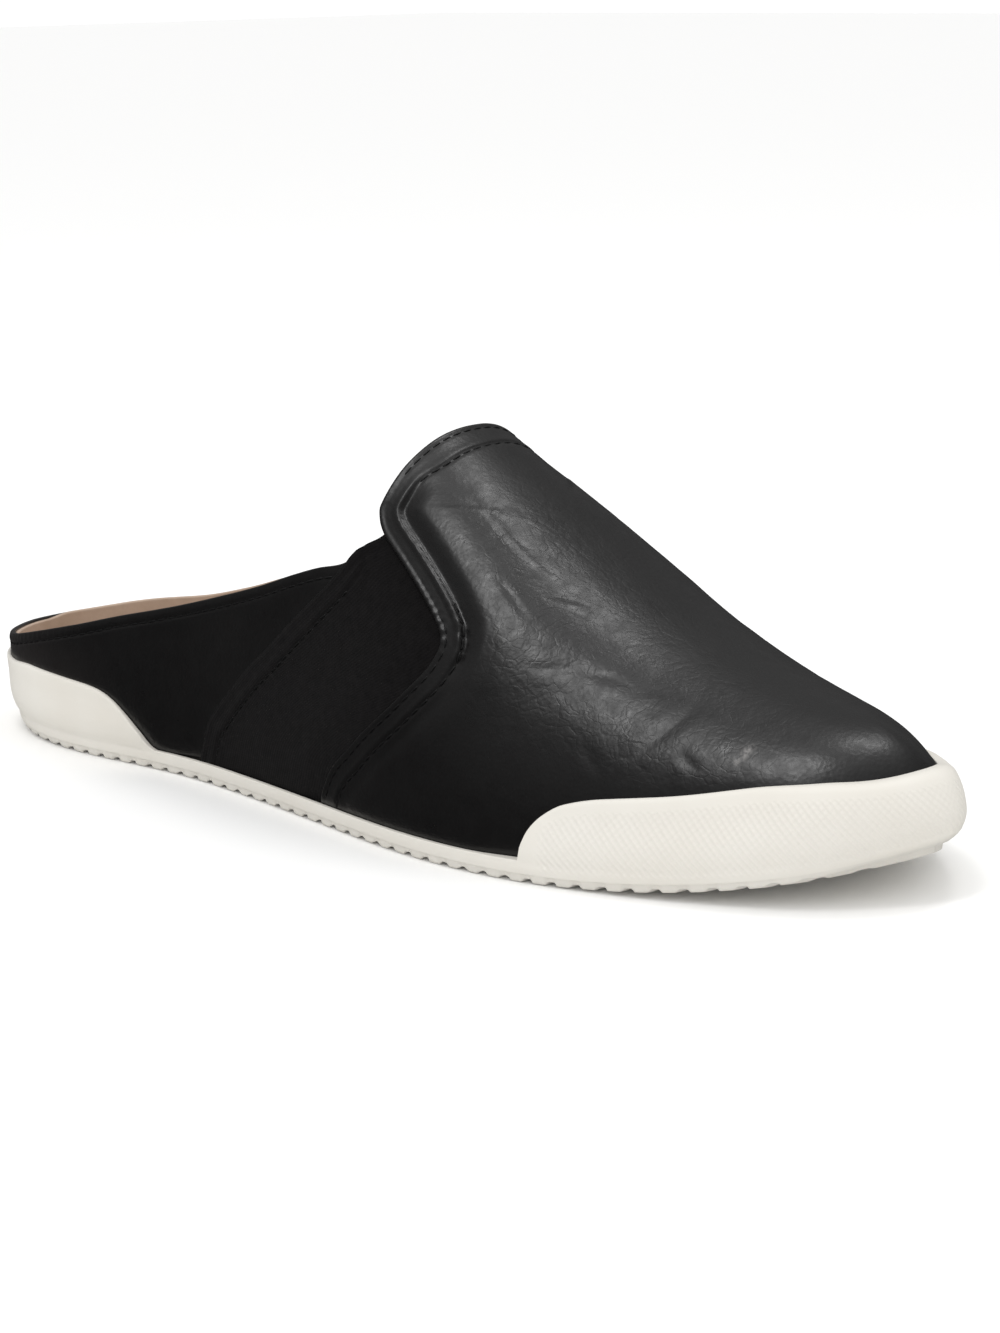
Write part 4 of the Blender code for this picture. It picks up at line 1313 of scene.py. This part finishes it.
def make_outsole():
    shares = np.linspace(0, 1, 6001)
    feet = foot_at(LATERAL, shares)[0]
    toe = smooth(feet, 0.190, 0.198)
    heel_end = (1 - smooth(feet, 0.0, 0.02)) + smooth(feet, 0.05, 0.056) * (1 - smooth(feet, 0.074, 0.078))
    density = 1.0 + 0.55 * toe + 0.5 * heel_end + 1.6 * bell(feet, 0.1985, 0.0022)
    run = np.concatenate([[0], np.cumsum((density[1:] + density[:-1]) / 2)])
    t = np.interp(np.linspace(0, 1, 560), run / run[-1], shares)
    own = smooth(t, 0.86, 0.985)
    pairs = {LATERAL: t, MEDIAL: medial_share(t) * (1 - own) + t * own}
    walls = {}
    heights = np.array([0.0, 0.12, 0.3, 0.55, 0.85, 1.15, 1.4, 1.58, 1.70, 1.82, 1.95, 2.2, 2.6, 3.1, 3.6]) * MM
    for side, a in pairs.items():
        x, y, nx, ny = plan(side, a)
        out = np.column_stack([nx, ny, np.zeros(len(a))])
        line = np.column_stack([x, y, np.zeros(len(a))])
        base, rounding = underside(x), edge_round(x)
        seat = last(side, a, np.zeros(len(a)))[:, 2] - base
        fit = np.minimum(1.0, 0.93 * seat / heights[-1])
        tuck = 2.6 * MM * smooth(x, 0.244, 0.265)  # the tip's lower edge is rounder
        rows, tread = [], []
        lobe = rib(x) * (1 - smooth(x, 0.248, 0.262)) + smooth(x, 0.248, 0.262)
        lobe = lobe * smooth(x, 0.004, 0.014) + (1 - smooth(x, 0.004, 0.014))
        for height in heights:
            inward = np.interp(height, [0, 0.0005, 0.0016, 0.0040], [1.0, 0.55, 0.25, 0.0]) * rounding
            low = 1 - smooth(height, 1.62 * MM, 1.84 * MM)
            notch = low * (0.26 * MM + 0.36 * MM * (1 - lobe)) * (1 - 0.9 * smooth(x, 0.238, 0.256))
            belly = 0.16 * MM * math.sin(math.pi * np.clip((height - 1.8 * MM) / (2.9 * MM), 0, 1))
            under = tuck * np.clip(1 - height * fit / (7.0 * MM), 0, 1) ** 2
            p = line + out * (belly - inward - notch - under)[:, None]
            p[:, 2] = base + height * fit
            rows.append(p)
            # tread is 1 on the lowest band, which the rubber's material greys as painted shade.
            tread.append(np.full(len(a), float(low)))
        rows[0][:, 2] = base + 0.62 * MM * (1 - lobe)
        rows[1][:, 2] = np.maximum(rows[1][:, 2], rows[0][:, 2] + 0.03 * MM)
        rows[2][:, 2] = np.maximum(rows[2][:, 2], rows[1][:, 2] + 0.03 * MM)
        rows[3][:, 2] = np.maximum(rows[3][:, 2], rows[2][:, 2] + 0.03 * MM)
        top = rubber_top(x) - 0.5 * MM * smooth(x, 0.252, 0.266)
        if side == MEDIAL:
            top = top - 1.1 * MM * smooth(x, 0.225, 0.245) * (1 - smooth(x, 0.256, 0.267))
        end = turn_at(side, a, lambda _x, _l=base + top: _l)
        lip = smooth(top, 1.3 * LIP, 2.0 * LIP)  # 1 on a bumper
        shares_up = np.concatenate([np.linspace(0, 1, 27)[:-1] * 0.97, [0.985, 1.0]])
        own = inset(x)
        for k, u in enumerate(shares_up):
            wall = last(side, a, end * u)
            rise = smooth((wall[:, 2] - base - LIP) / BUMPER_TAPER, 0, 1)
            thick = own + (np.minimum(bumper_edge(x), own + 0.001) - own) * rise
            belly = 0.16 * MM * np.sin(math.pi * np.clip((wall[:, 2] - base - 1.8 * MM) / (2.9 * MM), 0, 1)) * (1 - lip)
            under_top = base + top - wall[:, 2]
            radius = (0.45 + 0.9 * smooth(x, 0.240, 0.262)) * MM * lip + 0.30 * MM * (1 - lip)
            edge = roll(under_top, radius)
            under = tuck * np.clip(1 - (wall[:, 2] - base) / (7.0 * MM), 0, 1) ** 2
            rows.append(wall + out * (thick + edge + belly - under)[:, None])
            tread.append(np.zeros(len(a)))
        crest = last(side, a, end)
        radius = (0.45 + 0.9 * smooth(x, 0.240, 0.262)) * MM * lip + 0.30 * MM * (1 - lip)
        thick = own + (np.minimum(bumper_edge(x), own + 0.001) - own) * smooth((crest[:, 2] - base - LIP) / BUMPER_TAPER, 0, 1)
        for share in (0.45, 0.15):
            rows.append(crest + out * (0.15 * MM + (thick - radius - 0.15 * MM) * share)[:, None])
            tread.append(np.zeros(len(a)))
        for u in (1.0, 0.8, 0.5, 0.2, 0.0):
            wall = last(side, a, end * u)
            p = wall + out * 0.15 * MM
            if u == 0.0:
                p[:, 2] = base + BED
            rows.append(p)
            tread.append(np.zeros(len(a)))
        walls[side] = (np.array(rows) - ORIGIN, np.array(tread), x, base, a)
    lateral, medial = walls[LATERAL], walls[MEDIAL]
    for k in range(lateral[0].shape[0]):
        for end in (0, -1):
            both = (lateral[0][k, end] + medial[0][k, end]) / 2
            lateral[0][k, end] = medial[0][k, end] = both

    points, faces, tread, run_at, high, knurl = [], [], [], [], [], []

    def put(p, tr, rn, hi, kn):
        points.append(p)
        tread.append(tr)
        run_at.append(rn)
        high.append(hi)
        knurl.append(kn)
        return len(points) - 1

    ids = {}
    for side in (LATERAL, MEDIAL):
        rows, tr, x, base, a = walls[side]
        length = np.concatenate([[0], np.cumsum(np.linalg.norm(np.diff(rows[12], axis=0), axis=1))])
        length = length - length[-1]
        if side == MEDIAL:
            length = -length
        up = rows[:, :, 2] - base
        top = rubber_top(x)
        pattern = smooth(x, 0.1995, 0.2035) * smooth(up, 2.6 * MM, 3.6 * MM) * (1 - smooth(up, top - 2.9 * MM, top - 2.2 * MM))
        pattern[len(heights) + 28 :] = 0
        ids[side] = [
            [put(rows[k, i], tr[k, i], length[i], rows[k, i, 2], pattern[k, i]) for i in range(rows.shape[1])]
            for k in range(rows.shape[0])
        ]
        grid = ids[side]
        for k in range(len(grid) - 1):
            for i in range(len(grid[k]) - 1):
                ring = [grid[k][i], grid[k][i + 1], grid[k + 1][i + 1], grid[k + 1][i]]
                faces.append(ring if side == LATERAL else ring[::-1])

    # Underneath: ribs across, and a hollow waist.
    cross = np.concatenate([[0.02], np.linspace(0.06, 0.94, 19), [0.98]])
    left, right = lateral[0][0], medial[0][0]
    previous = ids[LATERAL][0]
    for share in list(cross) + [None]:
        if share is None:
            current = ids[MEDIAL][0]
        else:
            p = left + (right - left) * share
            x = p[:, 0] + ORIGIN[0]
            waist = np.sin(math.pi * np.clip((x / LENGTH - 0.27) / 0.20, 0, 1)) ** 2 * math.sin(math.pi * share)
            groove = (1 - rib(x)) * (1 - 0.75 * waist)
            groove = groove * smooth(x, 0.006, 0.014) * (1 - smooth(x, 0.252, 0.262))
            p[:, 2] = underside(x) + WAIST_LIFT * waist + (0.62 + 0.20 * math.sin(math.pi * share)) * MM * groove
            # The underside takes tread 0.75, which the rubber's material greys as painted shade.
            current = [put(q, 0.75, 0.0, 0.0, 0.0) for q in p]
        for i in range(len(current) - 1):
            faces.append([previous[i], current[i], current[i + 1], previous[i + 1]])
        previous = current
    # The bed inside.
    left, right = lateral[0][-1], medial[0][-1]
    previous = ids[LATERAL][-1]
    for share in (0.25, 0.5, 0.75, None):
        if share is None:
            current = ids[MEDIAL][-1]
        else:
            p = left + (right - left) * share
            current = [put(q, 0.0, 0.0, 0.0, 0.0) for q in p]
        for i in range(len(current) - 1):
            faces.append([previous[i + 1], current[i + 1], current[i], previous[i]])
        previous = current
    obj = add("cupsole", points, faces, RUBBER)
    for key, value in (("tread", tread), ("run", run_at), ("high", high), ("knurl", knurl)):
        give(obj, key, value)
    weld(obj, 1e-6)
    return obj


cupsole = make_outsole()


# ---- The footbed -------------------------------------------------------------------
def make_footbed():
    t = np.interp(np.linspace(0, 1, 230), [0, 1], [0.0, 1.0])
    inward = UPPER_WALL + 0.0006
    pairs = {LATERAL: t, MEDIAL: medial_share(t)}
    made = {}
    for side, a in pairs.items():
        _, _, nx, ny = plan(side, a)
        out = np.column_stack([nx, ny, np.zeros(len(a))])
        x = foot_at(side, a)[0]
        base = underside(x)
        top = base + footbed_top(x)
        turns = turn_at(side, a, lambda _x: top - 0.0014)
        rows = []
        for u in (0.0, 0.35, 0.7, 1.0):
            p = last(side, a, turns * u) - out * inward
            if u == 0.0:
                p[:, 2] = base + BED + GAP
            rows.append(p)
        shoulder = rows[-1]
        for step, rise in ((0.10, 0.60), (0.40, 1.05), (0.9, 1.30), (1.6, 1.40)):
            p = shoulder - out * step * MM
            p[:, 2] = top - 1.4 * MM + rise * MM
            rows.append(p)
        made[side] = np.array(rows) - ORIGIN
    lateral, medial = made[LATERAL], made[MEDIAL]
    for end in (0, -1):
        both = (lateral[:, end] + medial[:, end]) / 2
        lateral[:, end] = medial[:, end] = both
    points, faces = [], []

    def put(rows):
        first = len(points)
        points.extend(rows)
        return list(range(first, first + len(rows)))

    ids = {side: [put(made[side][k]) for k in range(made[side].shape[0])] for side in made}
    for side in made:
        grid = ids[side]
        for k in range(len(grid) - 1):
            for i in range(len(grid[k]) - 1):
                ring = [grid[k][i], grid[k][i + 1], grid[k + 1][i + 1], grid[k + 1][i]]
                faces.append(ring if side == LATERAL else ring[::-1])

    def bridge(row, shares, height, upward):
        left, right = lateral[row], medial[row]
        previous = ids[LATERAL][row]
        for share in list(shares) + [None]:
            if share is None:
                current = ids[MEDIAL][row]
            else:
                p = left + (right - left) * share
                p[:, 2] = height(p[:, 0] + ORIGIN[0], share)
                current = put(p)
            for i in range(len(current) - 1):
                ring = [previous[i], previous[i + 1], current[i + 1], current[i]]
                faces.append(ring if upward else ring[::-1])
            previous = current

    bridge(0, (0.33, 0.67), lambda x, s: underside(x) + BED + GAP, False)
    bridge(
        -1,
        np.linspace(0.02, 0.98, 33),
        lambda x, s: underside(x) + footbed_top(x) - footbed_dish(x) * math.sin(math.pi * s) ** 0.8,
        True,
    )
    obj = add("footbed", points, faces, LINING)
    give(obj, "grip", np.zeros(len(points)))
    weld(obj, 1e-6)
    return obj


footbed = make_footbed()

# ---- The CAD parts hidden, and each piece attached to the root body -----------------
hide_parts("upper")
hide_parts("outsole")
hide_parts("insole")
for _piece, _slot in (
    [(vamp, "black_leather"), (quarter, "black_leather"), (cupsole, "off_white_rubber"), (footbed, "tan_lining")]
    + [(g[0], "black_elastic") for g in gores.values()]
    + [(vamp_lining, "tan_lining"), (quarter_lining, "tan_lining")]
    + [(p, "black_leather") for p in threads]
):
    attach(_piece, "root")

# ---- Floor, light and camera ---------------------------------------------------------
bpy.ops.mesh.primitive_plane_add(size=14.0, location=(0, 0, -0.0002))
floor = bpy.context.active_object
floor.name = "floor"
pale = bpy.data.materials.new("pale_floor")
pale.use_nodes = True
pale.node_tree.nodes["Principled BSDF"].inputs["Base Color"].default_value = (0.96, 0.96, 0.955, 1)
pale.node_tree.nodes["Principled BSDF"].inputs["Roughness"].default_value = 0.9
pale.node_tree.nodes["Principled BSDF"].inputs["Specular IOR Level"].default_value = 0.1
floor.data.materials.append(pale)
floor.visible_glossy = False

# A studio: white behind the shoe, dim at the sides, light from above.
world = bpy.data.worlds.new("studio")
world.use_nodes = True
_tree = world.node_tree
_seen = _tree.nodes.new("ShaderNodeTexCoord").outputs["Generated"]
_split = _tree.nodes.new("ShaderNodeSeparateXYZ")
_tree.links.new(_seen, _split.inputs[0])
_sky = _tree.nodes.new("ShaderNodeValToRGB")
_bar = _sky.color_ramp
for _at, _level in ((0.45, 0.16), (0.80, 0.55)):
    _bar.elements.new(_at)
for _element, (_at, _level) in zip(_bar.elements, ((0.0, 0.05), (0.50, 0.06), (0.86, 0.30), (1.0, 0.75))):
    _element.position = _at
    _element.color = (_level, _level, _level, 1)
_half = _tree.nodes.new("ShaderNodeMapRange")
_half.inputs["From Min"].default_value = -1.0
_tree.links.new(_split.outputs["Z"], _half.inputs["Value"])
_tree.links.new(_half.outputs[0], _sky.inputs["Fac"])
_ray = _tree.nodes.new("ShaderNodeLightPath").outputs["Is Glossy Ray"]
_pick = _tree.nodes.new("ShaderNodeMix")
_pick.data_type = "RGBA"
_tree.links.new(_ray, _pick.inputs[0])
_tree.links.new(_sky.outputs["Color"], _pick.inputs[7])
_pick.inputs[6].default_value = (1.0, 1.0, 1.0, 1)
_tree.links.new(_pick.outputs[2], _tree.nodes["Background"].inputs["Color"])
_tree.nodes["Background"].inputs["Strength"].default_value = 1.03
bpy.context.scene.world = world


def softbox(name, place, towards, size, power, mirrored=True):
    data = bpy.data.lights.new(name, "AREA")
    data.shape = "RECTANGLE"
    data.size, data.size_y = size
    data.energy = power
    obj = bpy.data.objects.new(name, data)
    bpy.context.scene.collection.objects.link(obj)
    obj.location = place
    aim = Vector(towards) - Vector(place)
    obj.rotation_euler = aim.to_track_quat("-Z", "Y").to_euler()
    obj.visible_glossy = mirrored
    return obj


softbox("overhead_rear", (0.11, 0.36, 1.18), (0.05, 0.0, 0.0), (0.17, 0.34), 1.5)
softbox("overhead_front", (0.07, -0.42, 1.16), (0.05, 0.0, 0.0), (0.17, 0.40), 2.5)

CAMERA = {"azimuth": 44.36, "elevation": 12.53, "roll": -0.89, "distance": 0.698, "right_px": -53.34, "up_px": -10.14}


def add_camera():
    a, e, r = (math.radians(CAMERA[k]) for k in ("azimuth", "elevation", "roll"))
    back = np.array([math.sin(a) * math.cos(e), -math.cos(a) * math.cos(e), math.sin(e)])
    right = np.array([math.cos(a), math.sin(a), 0.0])
    up = np.cross(back, right)
    right, up = right * math.cos(r) + up * math.sin(r), -right * math.sin(r) + up * math.cos(r)
    target = np.array([LENGTH / 2, 0, 0.025]) - right * CAMERA["right_px"] / 4400 - up * CAMERA["up_px"] / 4400
    place = target + back * CAMERA["distance"] - ORIGIN
    data = bpy.data.cameras.new("camera")
    data.lens = 3200 * 36 / 1333
    data.sensor_width = 36
    data.clip_start, data.clip_end = 0.01, 60.0
    obj = bpy.data.objects.new("camera", data)
    bpy.context.scene.collection.objects.link(obj)
    obj.matrix_world = Matrix(
        (
            (right[0], up[0], back[0], place[0]),
            (right[1], up[1], back[1], place[1]),
            (right[2], up[2], back[2], place[2]),
            (0, 0, 0, 1),
        )
    )
    bpy.context.scene.camera = obj


add_camera()
bpy.context.scene.view_settings.view_transform = "Standard"
bpy.context.scene.view_settings.look = "None"

bpy.context.view_layer.update()
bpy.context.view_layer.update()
for o in bpy.context.scene.objects:
    if o.type == "MESH":
        print("piece", o.name, len(o.data.vertices), sum(len(p.vertices) - 2 for p in o.data.polygons))
